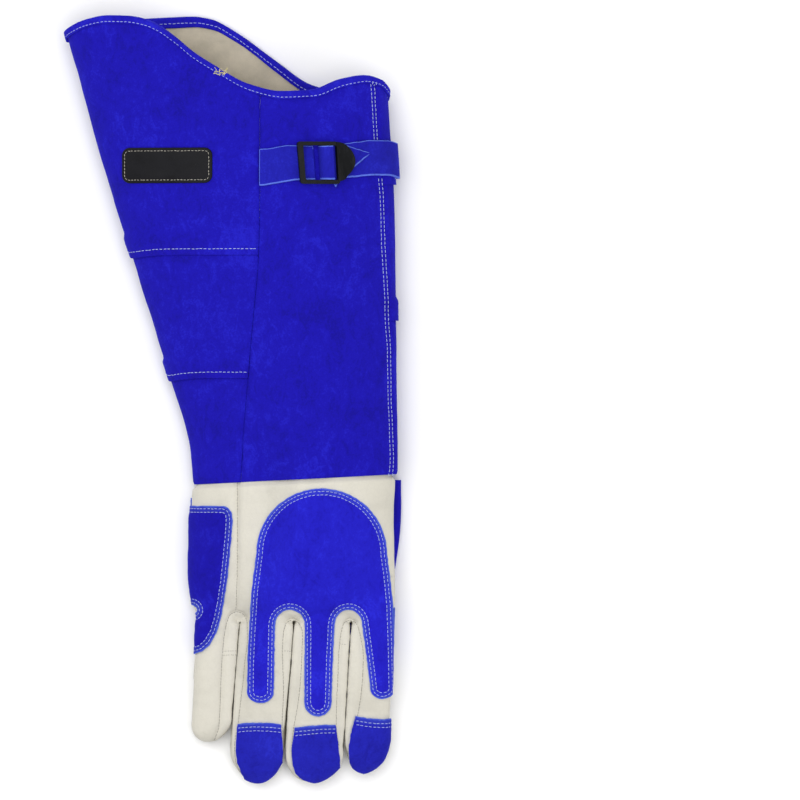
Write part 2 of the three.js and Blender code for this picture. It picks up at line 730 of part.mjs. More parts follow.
function handBody(proud, run) {
  const rows = run ? [{ ...handRows[0], run }, ...handRows] : handRows;
  const rings = rows.map((row, index) => {
    const middle = (row.left + row.right) / 2;
    const half = (row.right - row.left) / 2 + proud;
    return Array.from({ length: HAND_STEPS }, (_, i) => {
      const angle = (i / HAND_STEPS) * 2 * Math.PI;
      const x = middle + half * Math.cos(angle);
      const level = index === rows.length - 1 ? row.y - proud : row.y;
      const y = row.y === WRIST_Y ? wristY(x) - GAP + (row.run ?? 0) : level;
      const lean = Math.abs(Math.sin(angle));
      const fold = foldHeight(x, row.y);
      const depth = (read(lieRows, 'depth', row.y) + proud) * row.drop;
      const z = Math.sin(angle) >= 0
        ? fold + (row.arch + proud) * lean ** BACK_ROUND
        : fold - depth * lean ** HAND_PALM_ROUND;
      return new THREE.Vector3(x, y, z);
    });
  });
  return toSolid(loft(rings));
}

const alongFinger = (finger, y) => (KNUCKLE_Y - y) / (KNUCKLE_Y - finger.tipY);
const fingerMiddle = (finger, y) => lerp(finger.x, finger.tipX, alongFinger(finger, y));
const fingerHalf = (finger, y) => (
  lerp(finger.half, finger.tipHalf, smooth(alongFinger(finger, y))));

function fingerBody(finger, proud) {
  const tipY = finger.tipY - proud;
  const stops = [0, 0.5, 1].map((t) => ({ y: lerp(KNUCKLE_Y, tipY + TIP_ROUND, t), scale: 1 }));
  for (const degrees of [38, 70]) {
    const angle = THREE.MathUtils.degToRad(degrees);
    stops.push({ y: tipY + TIP_ROUND * (1 - Math.sin(angle)), scale: Math.cos(angle) ** 0.8 });
  }
  const rings = stops.map(({ y, scale }) => {
    const middle = fingerMiddle(finger, y);
    const half = (fingerHalf(finger, y) + proud) * scale;
    const arch = (lerp(FINGER_ARCH, FINGER_TIP_ARCH, alongFinger(finger, y)) + proud) * scale;
    const depth = (read(lieRows, 'depth', y) + proud) * lerp(1, scale, 0.8);
    return Array.from({ length: FINGER_STEPS }, (_, i) => {
      const angle = (i / FINGER_STEPS) * 2 * Math.PI;
      const x = middle + half * Math.cos(angle);
      const lean = Math.abs(Math.sin(angle));
      const rise = Math.sin(angle) >= 0
        ? arch * lean ** FINGER_BACK_ROUND
        : -depth * lean ** FINGER_PALM_ROUND;
      return new THREE.Vector3(x, y, foldHeight(x, y) + rise);
    });
  });
  return toSolid(loft(rings));
}

function handSolid(proud, run = 0) {
  return fingers.reduce((sum, finger) => sum.add(fingerBody(finger, proud)), handBody(proud, run));
}

// Everything under the dividing line between back and palm, moved up by a small step
function belowFold(step) {
  const columns = 11;
  const rows = 9;
  const at = (u, v) => [lerp(-60, 160, u), lerp(-40, -320, v)];
  const top = (u, v) => {
    const [x, y] = at(u, v);
    return new THREE.Vector3(x, y, foldHeight(x, y) + step);
  };
  const bottom = (u, v) => new THREE.Vector3(...at(u, v), -30);
  return toSolid(wall(columns, rows, top, bottom));
}

// Middle of the gap between two neighbouring fingers
function gapX(left, right, y) {
  const leftEdge = fingerMiddle(left, y) + fingerHalf(left, y);
  const rightEdge = fingerMiddle(right, y) - fingerHalf(right, y);
  return (leftEdge + rightEdge) / 2;
}

// Strip between two neighbouring fingers, from the crotch to just before the tips
function gussetPrism(left, right, grow) {
  const crotch = -162;
  const seam = (finger, side, y) => (
    fingerMiddle(finger, y) + side * GUSSET_SEAM * fingerHalf(finger, y) - side * grow);
  const leftEnd = left.tipY + TIP_ROUND * 0.9;
  const rightEnd = right.tipY + TIP_ROUND * 0.9;
  const between = gapX(left, right, -230);
  const top = crotch + grow;
  return toSolid(prism([
    [seam(left, 1, -190), -190],
    [seam(left, 1, leftEnd), leftEnd + 12],
    [fingerMiddle(left, leftEnd) + 0.8 * fingerHalf(left, leftEnd), leftEnd - grow],
    [between, leftEnd - grow],
    [between, rightEnd - grow],
    [fingerMiddle(right, rightEnd) - 0.8 * fingerHalf(right, rightEnd), rightEnd - grow],
    [seam(right, -1, rightEnd), rightEnd + 12],
    [seam(right, -1, -190), -190],
    [lerp(between, seam(right, -1, -170), 0.75), top - 3],
    [between, top],
    [lerp(between, seam(left, 1, -170), 0.75), top - 3],
  ]));
}

const pairs = [[0, 1], [1, 2], [2, 3]].map(([a, b]) => [fingers[a], fingers[b]]);
const skin = handSolid(0).subtract(handSolid(-GRAIN, RUN));
const withoutGussets = pairs.reduce(
  (sum, [left, right]) => sum.subtract(gussetPrism(left, right, GAP / 2)), skin);

for (const [left, right] of pairs) {
  const strip = skin.intersect(gussetPrism(left, right, -GAP / 2));
  addPiece(`finger_gusset_${left.name}`, fromSolid(strip), grainLeather());
}

// Palm faces of the ring and middle fingers, with a base seam across each
const frontSeams = [
  { name: 'ring', inner: -186, outer: -200 },
  { name: 'middle', inner: -200, outer: -206 },
];

// Everything round one finger, past a line across its root given at its two sides
function fingerBlock({ name, inner, outer }, grow) {
  const index = fingers.findIndex((one) => one.name === name);
  const [before, finger, after] = [fingers[index - 1], fingers[index], fingers[index + 1]];
  const left = (y) => (before ? gapX(before, finger, y) : -FAR);
  const right = (y) => (after ? gapX(finger, after, y) : FAR);
  return toSolid(prism([
    [left(inner), inner + grow],
    [right(outer), outer + grow],
    [right(-245), -245],
    [right(-280), -320],
    [left(-280), -320],
    [left(-245), -245],
  ], -40, 60));
}

const palmHalf = belowFold(-GAP / 2);
for (const seam of frontSeams) {
  const front = withoutGussets.intersect(palmHalf).intersect(fingerBlock(seam, -GAP / 2));
  addPiece(`finger_front_${seam.name}`, fromSolid(front), grainLeather());
}

// The rest of the hand is two leathers, each with its fingers as nodes of their own
const wrapSide = (grow) => toSolid(prism([
  [-80, 0], [WRAP_SEAM_X + grow, 0], [WRAP_SEAM_X + grow, -320], [-80, -320]]));
const palmRegion = frontSeams.reduce((sum, seam) => sum.subtract(fingerBlock(seam, GAP / 2)), palmHalf)
  .add(wrapSide(-GAP / 2).subtract(belowFold(-GAP)));
const backRegion = belowFold(GAP / 2).add(wrapSide(GAP / 2));
const FINGER_ROOT_Y = -176;

function addWithFingers(name, leather, prefix, fingerNames) {
  const root = (finger) => ({ name: finger, inner: FINGER_ROOT_Y, outer: FINGER_ROOT_Y });
  const rest = fingerNames.reduce(
    (sum, finger) => sum.subtract(fingerBlock(root(finger), GAP / 2)), leather);
  addPiece(name, fromSolid(rest), grainLeather());
  for (const finger of fingerNames) {
    const cut = leather.intersect(fingerBlock(root(finger), -GAP / 2));
    addPiece(`${prefix}_${finger}`, fromSolid(cut), grainLeather());
  }
}
const palmLeather = withoutGussets.intersect(palmRegion);
const backLeather = withoutGussets.subtract(backRegion);
addWithFingers('hand_palm', palmLeather, 'finger_front', ['little', 'index']);
addWithFingers('hand_back', backLeather, 'finger_back', ['ring', 'middle', 'index']);

// The thumb: a flattened tube with a wall, open at the wrist and closed at its tip
const THUMB_STEPS = 14;
const THUMB_MIDDLE = 0.45;
const THUMB_TOP_ROUND = 0.7;
const THUMB_SOLE_ROUND = 0.6;
const THUMB_SOLE_FLAT = 1.45;

function thumbRing(row, index, inset) {
  const before = thumbRows[Math.max(0, index - 1)];
  const after = thumbRows[Math.min(thumbRows.length - 1, index + 1)];
  const along = new THREE.Vector2(after.x - before.x, after.y - before.y).normalize();
  const side = index === 0 ? new THREE.Vector2(1, 0) : new THREE.Vector2(-along.y, along.x);
  const half = row.half - inset;
  return Array.from({ length: THUMB_STEPS }, (_, i) => {
    const angle = (i / THUMB_STEPS) * 2 * Math.PI;
    const reach = half * Math.cos(angle);
    const lean = Math.abs(Math.sin(angle));
    const middle = row.height * THUMB_MIDDLE;
    const z = Math.sin(angle) >= 0
      ? middle + (row.height - middle - inset) * lean ** THUMB_TOP_ROUND
      : middle - (middle - inset) * Math.min(1, lean * THUMB_SOLE_FLAT) ** THUMB_SOLE_ROUND;
    return new THREE.Vector3(row.x + side.x * reach, row.y + side.y * reach, z);
  });
}

function thumbTube() {
  const outer = thumbRows.map((row, index) => thumbRing(row, index, 0));
  const inner = thumbRows.slice(0, -1).map((row, index) => thumbRing(row, index, SUEDE));
  return loft([...[...inner].reverse(), ...outer]);
}
addPiece('thumb', thumbTube(), suede());

// Reinforcing patches: a skin just proud of the hand, cut to outlines seen from above
const patchSkin = handSolid(GAP + PATCH).subtract(handSolid(GAP, RUN));

const dome = { x: 69.7, y: -119.8, radius: 51 };
const backPatchOutline = [
  ...arc(dome.x, dome.y, dome.radius, dome.radius, 0, 180, 10),
  [14.9, -148.8], [11.7, -200.4], [11.4, -228],
  ...arc(21.9, -228, 10.5, 8.5, 180, 360, 4),
  [32.8, -205], [33.4, -175],
  ...arc(45, -175, 11.4, 11.4, 180, 0, 4),
  [56.2, -234],
  ...arc(66.8, -236, 10.6, 11, 180, 360, 4),
  [78.6, -200], [79.9, -175],
  ...arc(90.6, -175, 10.6, 11.4, 180, 0, 4),
  [104.5, -199], [107.5, -224],
  ...arc(117.3, -225, 9.8, 8.3, 180, 360, 4),
  [126, -166], [123, -136],
];
const backPatch = patchSkin.subtract(belowFold(0)).intersect(toSolid(prism(backPatchOutline)));
addPiece('back_patch', fromSolid(backPatch), suede());

// Fingertip caps: the two sides of each, from its upper edge to past the tip
const caps = [
  {
    name: 'ring',
    left: [[3.5, -253], [2.7, -266], [2.7, -278], [4.7, -286], [8.6, -292], [12.5, -298], [13, -320]],
    right: [[42, -320], [42, -290], [40, -270], [38.2, -253]],
  },
  {
    name: 'middle',
    left: [[48.2, -257], [46, -266], [45.4, -275], [46.5, -285], [49, -292], [53, -298], [54, -320]],
    right: [[86, -320], [86, -296], [83.8, -280], [80.8, -255]],
  },
  {
    name: 'index',
    left: [[96.3, -247], [92.5, -260], [90.5, -272], [89.8, -282], [92, -290], [93, -320]],
    right: [[130, -320], [130, -248]],
  },
];
for (const { name, left, right } of caps) {
  const cap = patchSkin.subtract(belowFold(-1)).intersect(toSolid(prism([...left, ...right])));
  addPiece(`fingertip_${name}`, fromSolid(cap), suede());
}

const sidePatchBack = [
  [-50, -82.7], [-6, -82.7], [-1, -86], [0.5, -94], [0.5, -125], [-3.1, -138.6], [-5.5, -166],
  [-8.8, -183.2], [-15.7, -195], [-31, -199.3], [-50, -199.3],
  [-50, -169.5], [-27, -168], [-24.5, -164], [-27, -160], [-50, -158],
];
const sidePatchPalm = [
  [-50, -76.5], [14, -76.5], [19, -82], [20, -95], [20, -130], [16, -141], [6, -149], [-12, -151.8],
  [-50, -151.8],
];
const sidePatchLow = [
  [-50, -166], [-24, -166], [-18, -170], [-15.5, -178], [-18, -186], [-24, -190], [-50, -190],
];
const sideDivide = 12;
const sideRegion = toSolid(prism(sidePatchBack, sideDivide, 120))
  .add(toSolid(prism(sidePatchPalm, -20, sideDivide)))
  .add(toSolid(prism(sidePatchLow, -20, sideDivide)));
addPiece('side_patch', fromSolid(patchSkin.intersect(sideRegion)), suede());

const palmPatchOutline = [
  [24, -66], [27.7, -90], [30, -138.9], [36, -152], [48, -159], [70, -162], [86, -163], [95, -170],
  [99, -196], [104, -201], [122, -201], [127, -196], [127, -162], [100, -152], [72, -138], [58, -117.8],
  [51, -66],
];
const palmDivide = 26;
addPiece('palm_patch', fromSolid(patchSkin.intersect(toSolid(prism(palmPatchOutline, -20, palmDivide)))),
  suede());

export default glove;
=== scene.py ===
"""Animal handling glove: the looks of the glove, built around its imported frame.

Lengths in this file are millimetres in the part's frame, and each mesh is scaled to metres as it is
made. Inside the materials sizes are metres, and a noise's scale is its number of lumps in a metre.
"""

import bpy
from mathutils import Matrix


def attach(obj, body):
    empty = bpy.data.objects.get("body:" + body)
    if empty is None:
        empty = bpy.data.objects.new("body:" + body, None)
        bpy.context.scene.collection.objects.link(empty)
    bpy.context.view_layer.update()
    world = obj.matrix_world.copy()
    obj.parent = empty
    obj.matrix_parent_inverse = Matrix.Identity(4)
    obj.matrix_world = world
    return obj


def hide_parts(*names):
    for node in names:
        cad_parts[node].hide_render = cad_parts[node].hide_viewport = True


bl_info = {
    "name": "Animal handling glove",
    "version": (1, 0, 0),
    "blender": (4, 5, 0),
    "location": "View3D > Sidebar > Glove",
    "description": "Builds the leather, stitches, strap and buckle of a gauntlet glove",
    "category": "Add Mesh",
}

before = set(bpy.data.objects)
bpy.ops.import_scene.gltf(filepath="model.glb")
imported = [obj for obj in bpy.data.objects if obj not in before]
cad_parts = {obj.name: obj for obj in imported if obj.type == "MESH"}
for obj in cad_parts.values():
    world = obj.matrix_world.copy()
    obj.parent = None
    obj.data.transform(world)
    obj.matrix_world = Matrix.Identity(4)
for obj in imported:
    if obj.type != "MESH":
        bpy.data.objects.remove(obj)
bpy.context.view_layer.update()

import math

import bpy
import numpy as np
from mathutils import Vector
from mathutils.bvhtree import BVHTree

MM = 0.001

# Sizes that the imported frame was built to
GAP = 0.3
SUEDE = 1.8
GRAIN = 1.7
PATCH = 1.5
LINING = 1.0
BINDING = 1.8
STRAP = 2.0
LAP = 14.0
BINDING_WIDTH = 6.0
LIP = GAP + SUEDE
WRIST_Y, WRIST_SLOPE, WRIST_PIVOT_X = -62.0, 0.05, 50.0

# The cuff's sides as seen from above, and how high its back stands, at heights up the glove
CUFF_Y = [-70, -38, 24, 112, 162, 204, 244, 300]
CUFF_LEFT = [-30.8, -33.6, -51.7, -78.6, -94.7, -107.2, -118.0, -133.7]
CUFF_RIGHT = [129.2, 129.2, 128.4, 127.2, 126.0, 123.5, 120.8, 118.6]
CUFF_ARCH = [30, 31, 33, 37, 40, 41, 42, 42]

# How the glove lies: where its underside is, how deep it is below its side folds, and how far the
# thumb lifts them between two places across
LIE_Y = [-300, -250, -208, -160, -120, -62, -10, 120, 300]
LIE_BASE = [0.2, 0.8, 1.6, 2.1, 2.1, 2.1, 2.1, 2.7, 2.7]
LIE_DEPTH = [10, 11, 11, 11, 10.5, 10, 11, 15, 20]
LIE_LIFT = [0, 7.5, 15, 15.5, 15.5, 15.5, 14, 9, 6]
LIE_FROM = [0, 0, 0, 4, 18, 24, -5, -60, -80]
LIE_TO = [32, 32, 32, 36, 52, 58, 72, 100, 110]

# The mouth's outline on the back and on the palm side, and the seams that run up the cuff
BACK_RIM = [
    (-130.9, 283), (-122.5, 290.3), (-106.5, 297), (-90.6, 299.6), (-74.5, 299), (-62.6, 296.6),
    (-52.6, 291.6), (-42.6, 283.2), (-30.6, 271.2), (-16.7, 261.3), (9.4, 246), (35, 240.3),
    (60, 241.5), (85, 250), (103, 253), (114, 250), (121, 242),
]
PALM_RIM = [
    (-130.9, 283), (-110, 291), (-80, 297), (-42.6, 299.4), (-26.6, 300), (-12.7, 298), (3.3, 289.2),
    (33.3, 265.3), (57.2, 247.5), (71.3, 243), (95, 236), (112, 235), (121, 242),
]
SEAM_Y = [-70, -27, 72, 108, 161, 205, 300]
SEAM_TURNED = [5, 8, 17, 20.4, 21.8, 21.9, 24]
SEAM_STITCHED = [127.4, 126.2, 123.8, 121.8, 118.8, 114.2, 108.4]
PALM_SEAM_Y = [-62, 225, 300]
PALM_SEAM_PART = [0.545, 0.785, 0.80]

# Exponents of the section over the back and under the palm: the smaller, the squarer
BACK_ROUND = 0.9
PALM_ROUND = 0.36
RIM_LEVEL = 270
# How far from a crossing seam the laps flatten out and its puckers fade
SEAM_EASE = 7.0


def smooth(t):
    s = np.clip(t, 0.0, 1.0)
    return s * s * (3 - 2 * s)


def curve(ys, values, at):
    """A smooth curve through a table, without overshoot, level past its ends."""
    ys = np.asarray(ys, float)
    values = np.asarray(values, float)
    step = np.diff(ys)
    slope = np.diff(values) / step
    bend = np.zeros(len(ys))
    same = slope[:-1] * slope[1:] > 0
    total = np.where(same, slope[:-1] + slope[1:], 1.0)
    bend[1:-1] = np.where(same, 2 * slope[:-1] * slope[1:] / total, 0.0)
    bend[0], bend[-1] = slope[0], slope[-1]
    x = np.clip(np.asarray(at, float), ys[0], ys[-1])
    i = np.clip(np.searchsorted(ys, x, side="right") - 1, 0, len(ys) - 2)
    h = step[i]
    t = (x - ys[i]) / h
    return (
        (1 + 2 * t) * (1 - t) ** 2 * values[i] + t * (1 - t) ** 2 * h * bend[i]
        + t * t * (3 - 2 * t) * values[i + 1] + t * t * (t - 1) * h * bend[i + 1]
    )


def lengths_along(points):
    """How far along a line of points each of them lies."""
    return np.concatenate([[0], np.cumsum(np.linalg.norm(np.diff(points, axis=0), axis=1))])


def points_at(line, length, at):
    """Points of a line at these lengths along it, each value between its two neighbours."""
    return np.stack([np.interp(at, length, line[:, k]) for k in range(line.shape[1])], axis=-1)


def bell(distance, width):
    """1 in the middle, falling off on both sides."""
    return np.exp(-((distance / width) ** 2))


def noise(points, size, seed):
    """Smooth noise from -1 to 1 over points, with lumps about size across."""
    q = points / size
    cell = np.floor(q).astype(np.int64)
    f = q - cell
    f = f * f * f * (f * (f * 6 - 15) + 10)
    total = np.zeros(points.shape[:-1])
    for corner in range(8):
        step = np.array([corner & 1, corner >> 1 & 1, corner >> 2 & 1])
        at = cell + step
        h = (at[..., 0] * 73856093 ^ at[..., 1] * 19349663 ^ at[..., 2] * 83492791) + seed * 40503
        h = (h & 0xFFFFFFFF) * 2246822519 & 0xFFFFFFFF
        h = (h ^ (h >> 15)) * 3266489917 & 0xFFFFFFFF
        h = (h ^ (h >> 13)) & 0xFFFF
        weight = np.prod(np.where(step == 1, f, 1 - f), axis=-1)
        total += weight * (h / 32767.5 - 1.0)
    return total


# The cuff as a sleeve: turn 0 is the thumb side fold, half a turn the little finger side fold


def fold_height(x, y):
    """How high the side folds of the glove lie, where its back and palm side meet."""
    lift = smooth((x - curve(LIE_Y, LIE_FROM, y)) / (curve(LIE_Y, LIE_TO, y) - curve(LIE_Y, LIE_FROM, y)))
    return curve(LIE_Y, LIE_BASE, y) + curve(LIE_Y, LIE_DEPTH, y) + curve(LIE_Y, LIE_LIFT, y) * lift


def sleeve_raw(turn, y, proud):
    """Places on the smooth cuff, this far proud of its leather's outer face."""
    turn, y, proud = np.broadcast_arrays(*(np.asarray(v, float) for v in (turn, y, proud)))
    angle = turn * 2 * math.pi
    left = curve(CUFF_Y, CUFF_LEFT, y) - proud
    right = curve(CUFF_Y, CUFF_RIGHT, y) + proud
    x = (left + right) / 2 + (right - left) / 2 * np.cos(angle)
    lean = np.abs(np.sin(angle))
    fold = fold_height(x, y)
    back = fold + (curve(CUFF_Y, CUFF_ARCH, y) + proud) * lean ** BACK_ROUND
    palm = fold - (fold - curve(LIE_Y, LIE_BASE, y) + proud) * lean ** PALM_ROUND
    return np.stack([x, y, np.where(np.sin(angle) >= 0, back, palm)], axis=-1)


def cuff_relief(turn, y):
    """The soft dents and waves of the cuff, the same for all that lies on it."""
    at = sleeve_raw(turn, y, 0.0)
    stretched = at * np.array([1.0, 0.55, 1.0])
    lumps = 1.25 * noise(stretched, 52, 1) + 0.5 * noise(at, 21, 2) + 0.16 * noise(at, 8, 3)
    up = smooth((np.sin(np.asarray(turn) * 2 * math.pi) + 0.25) / 0.5)
    return lumps * up - 0.25 * np.abs(lumps) * (1 - up)


def sleeve(turn, y, proud):
    """Places on the cuff with its dents and waves."""
    return sleeve_raw(turn, y, proud + cuff_relief(turn, y))


def cuff_sides(y):
    return curve(CUFF_Y, CUFF_LEFT, y), curve(CUFF_Y, CUFF_RIGHT, y)


def turn_on_back(x, y):
    """The turn at which a place on the back lies, as seen from above."""
    left, right = cuff_sides(y)
    reach = np.clip((x - (left + right) / 2) / ((right - left) / 2), -1, 1)
    return np.arccos(reach) / (2 * math.pi)


def table(points):
    return [p[0] for p in points], [p[1] for p in points]


def rim_y(turn):
    wrapped = np.mod(turn, 1.0)
    left, right = cuff_sides(RIM_LEVEL)
    x = (left + right) / 2 + (right - left) / 2 * np.cos(wrapped * 2 * math.pi)
    return np.where(wrapped < 0.5, curve(*table(BACK_RIM), x), curve(*table(PALM_RIM), x))


def wrist_y(x):
    return WRIST_Y + WRIST_SLOPE * (x - WRIST_PIVOT_X)


def turned_turn(y):
    return turn_on_back(curve(SEAM_Y, SEAM_TURNED, y), y)


def stitched_turn(y):
    return turn_on_back(curve(SEAM_Y, SEAM_STITCHED, y), y)


def palm_seam_x(y):
    left, right = cuff_sides(y)
    return left + (right - left) * np.interp(y, PALM_SEAM_Y, PALM_SEAM_PART)


def palm_seam_turn(y):
    return 1 - turn_on_back(palm_seam_x(y), y)


# Making meshes


def spaced(length, step, fine=(0.0, 0.5, 1.2, 2.2, 3.6)):
    """Places along a length, close together near both ends."""
    ends = [f for f in fine if f < length * 0.4]
    inner = length - 2 * ends[-1]
    count = max(1, round(inner / step))
    middle = [ends[-1] + inner * i / count for i in range(1, count)]
    return np.array(ends + middle + [length - e for e in reversed(ends)])


def deselect_all():
    if bpy.context.object and bpy.context.object.mode != "OBJECT":
        bpy.ops.object.mode_set(mode="OBJECT")
    bpy.ops.object.select_all(action="DESELECT")


def pick(piece):
    deselect_all()
    piece.select_set(True)
    bpy.context.view_layer.objects.active = piece


def set_points(mesh, points):
    mesh.vertices.foreach_set("co", (np.asarray(points, float).reshape(-1, 3) * MM).ravel())
    mesh.update()


def points_of(piece):
    flat = np.empty(len(piece.data.vertices) * 3)
    piece.data.vertices.foreach_get("co", flat)
    return flat.reshape(-1, 3) / MM


def normals_of(piece):
    flat = np.empty(len(piece.data.vertices) * 3)
    piece.data.vertices.foreach_get("normal", flat)
    return flat.reshape(-1, 3)


def grid_piece(name, points, close=False):
    """A grid laid over rows and columns of points. A closed grid has its first and last column joined."""
    rows, columns = points.shape[:2]
    deselect_all()
    bpy.ops.mesh.primitive_grid_add(x_subdivisions=columns - 1, y_subdivisions=rows - 1)
    piece = bpy.context.object
    piece.name = piece.data.name = name
    set_points(piece.data, points)
    if close:
        weld(piece)
    return piece


def ring_piece(name, points):
    """A torus laid over rings of points, closed both ways round."""
    major, minor = points.shape[:2]
    deselect_all()
    bpy.ops.mesh.primitive_torus_add(major_segments=major, minor_segments=minor)
    piece = bpy.context.object
    piece.name = piece.data.name = name
    set_points(piece.data, points)
    return piece


def in_edit_mode(piece, *steps):
    """Selects all of a piece in edit mode and takes these steps."""
    pick(piece)
    bpy.ops.object.mode_set(mode="EDIT")
    bpy.ops.mesh.select_all(action="SELECT")
    for step in steps:
        step()
    bpy.ops.object.mode_set(mode="OBJECT")


def select_all():
    bpy.ops.mesh.select_all(action="SELECT")


def turn_faces_out():
    bpy.ops.mesh.normals_make_consistent(inside=False)


def weld(piece, distance=0.02):
    in_edit_mode(piece, lambda: bpy.ops.mesh.remove_doubles(threshold=distance * MM))


def face_out(piece):
    in_edit_mode(piece, turn_faces_out)


def flip(piece):
    in_edit_mode(piece, bpy.ops.mesh.flip_normals)


def apply(piece, kind, **settings):
    """Adds a modifier with these settings and applies it."""
    pick(piece)
    modifier = piece.modifiers.new(kind.title(), kind)
    for key, value in settings.items():
        setattr(modifier, key, value)
    bpy.ops.object.modifier_apply(modifier=modifier.name)


def thicken(piece, thickness, offset=-1.0, rim=0):
    """Gives a sheet its thickness, and with a rim its cut edges the look of the leather's inside."""
    if rim:
        piece.data.materials.append(finish("blue_strap"))
        piece.data.materials.append(finish("cut_edge"))
    apply(
        piece, "SOLIDIFY", thickness=thickness * MM, offset=offset, use_even_offset=False,
        material_offset_rim=rim,
    )


def ease_edges(piece, width, angle=50, segments=2, material=-1):
    apply(
        piece, "BEVEL", width=width * MM, segments=segments, limit_method="ANGLE",
        angle_limit=math.radians(angle), use_clamp_overlap=True, material=material,
    )


def shade(piece, angle=40):
    pick(piece)
    bpy.ops.object.shade_smooth_by_angle(angle=math.radians(angle))


def finish_piece(piece, material, replaces=(), smooth_angle=40, edge=None):
    """Gives a finished piece its materials, its body and the frame nodes that it stands for."""
    shade(piece, smooth_angle)
    faces = np.zeros(len(piece.data.polygons), dtype=np.int32)
    piece.data.polygons.foreach_get("material_index", faces)
    piece.data.materials.clear()
    piece.data.materials.append(material)
    if edge:
        piece.data.materials.append(edge)
        piece.data.polygons.foreach_set("material_index", np.minimum(faces, 1))
    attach(piece, "root")
    if replaces:
        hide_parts(*replaces)
    return piece


# Materials


class Sheet:
    """A node tree with short ways to add and join its nodes."""

    def __init__(self, tree):
        self.tree = tree

    def add(self, kind, **settings):
        node = self.tree.nodes.new(kind)
        for key, value in settings.items():
            setattr(node, key, value)
        return node

    def join(self, source, target):
        self.tree.links.new(source, target)

    def feed(self, socket, value):
        if isinstance(value, bpy.types.NodeSocket):
            self.join(value, socket)
        else:
            socket.default_value = value

    def noise(self, vector, scale, detail=3.0, roughness=0.5, distortion=0.0):
        node = self.add("ShaderNodeTexNoise")
        self.join(vector, node.inputs["Vector"])
        node.inputs["Scale"].default_value = scale
        node.inputs["Detail"].default_value = detail
        node.inputs["Roughness"].default_value = roughness
        node.inputs["Distortion"].default_value = distortion
        return node.outputs["Fac"]

    def cells(self, vector, scale, feature="F1"):
        node = self.add("ShaderNodeTexVoronoi", feature=feature)
        self.join(vector, node.inputs["Vector"])
        node.inputs["Scale"].default_value = scale
        return node.outputs["Distance"]

    def span(self, value, low, high, to_low=0.0, to_high=1.0):
        node = self.add("ShaderNodeMapRange", interpolation_type="SMOOTHSTEP")
        self.feed(node.inputs["Value"], value)
        for key, number in (("From Min", low), ("From Max", high), ("To Min", to_low), ("To Max", to_high)):
            self.feed(node.inputs[key], number)
        return node.outputs["Result"]

    def math(self, operation, first, second=0.5):
        node = self.add("ShaderNodeMath", operation=operation)
        self.feed(node.inputs[0], first)
        self.feed(node.inputs[1], second)
        return node.outputs[0]

    def mix(self, amount, first, second):
        node = self.add("ShaderNodeMix", data_type="RGBA")
        self.feed(node.inputs[0], amount)
        self.feed(node.inputs[6], first)
        self.feed(node.inputs[7], second)
        return node.outputs[2]

    def stretched(self, vector, scale):
        node = self.add("ShaderNodeMapping")
        self.join(vector, node.inputs["Vector"])
        node.inputs["Scale"].default_value = scale
        return node.outputs["Vector"]

    def bump(self, height, distance, strength=1.0):
        node = self.add("ShaderNodeBump")
        node.inputs["Strength"].default_value = strength
        node.inputs["Distance"].default_value = distance
        self.join(height, node.inputs["Height"])
        return node.outputs["Normal"]


def rgba(color):
    return (color[0], color[1], color[2], 1.0)


def new_group(name, inputs, outputs):
    """A shader node group with named sockets, and its sheet, inputs and outputs."""
    tree = bpy.data.node_groups.new(name, "ShaderNodeTree")
    for label, kind, value in inputs:
        socket = tree.interface.new_socket(label, in_out="INPUT", socket_type=kind)
        if value is not None:
            socket.default_value = value
    for label, kind in outputs:
        tree.interface.new_socket(label, in_out="OUTPUT", socket_type=kind)
    sheet = Sheet(tree)
    return sheet, sheet.add("NodeGroupInput"), sheet.add("NodeGroupOutput")


def nap_group():
    """Brushed split leather: where it is lighter and darker, and how high its fibres stand."""
    sheet, source, target = new_group(
        "Leather nap",
        [("Vector", "NodeSocketVector", None)],
        [("Shade", "NodeSocketFloat"), ("Height", "NodeSocketFloat")],
    )
    at = source.outputs["Vector"]
    clouds = sheet.noise(at, 26, 5, 0.62, 0.6)
    marks = sheet.noise(sheet.stretched(at, (1.0, 0.6, 1.0)), 130, 5, 0.68, 1.4)
    fibres = sheet.noise(at, 700, 3, 0.7)
    grain = sheet.noise(at, 2600, 1, 0.5)
    shade_sum = sheet.math("MULTIPLY", clouds, 0.38)
    shade_sum = sheet.math("ADD", shade_sum, sheet.math("MULTIPLY", marks, 0.36))
    shade_sum = sheet.math("ADD", shade_sum, sheet.math("MULTIPLY", fibres, 0.26))
    sheet.join(shade_sum, target.inputs["Shade"])
    height = sheet.math("ADD", sheet.math("MULTIPLY", fibres, 0.6), sheet.math("MULTIPLY", grain, 0.4))
    sheet.join(height, target.inputs["Height"])
    return sheet.tree


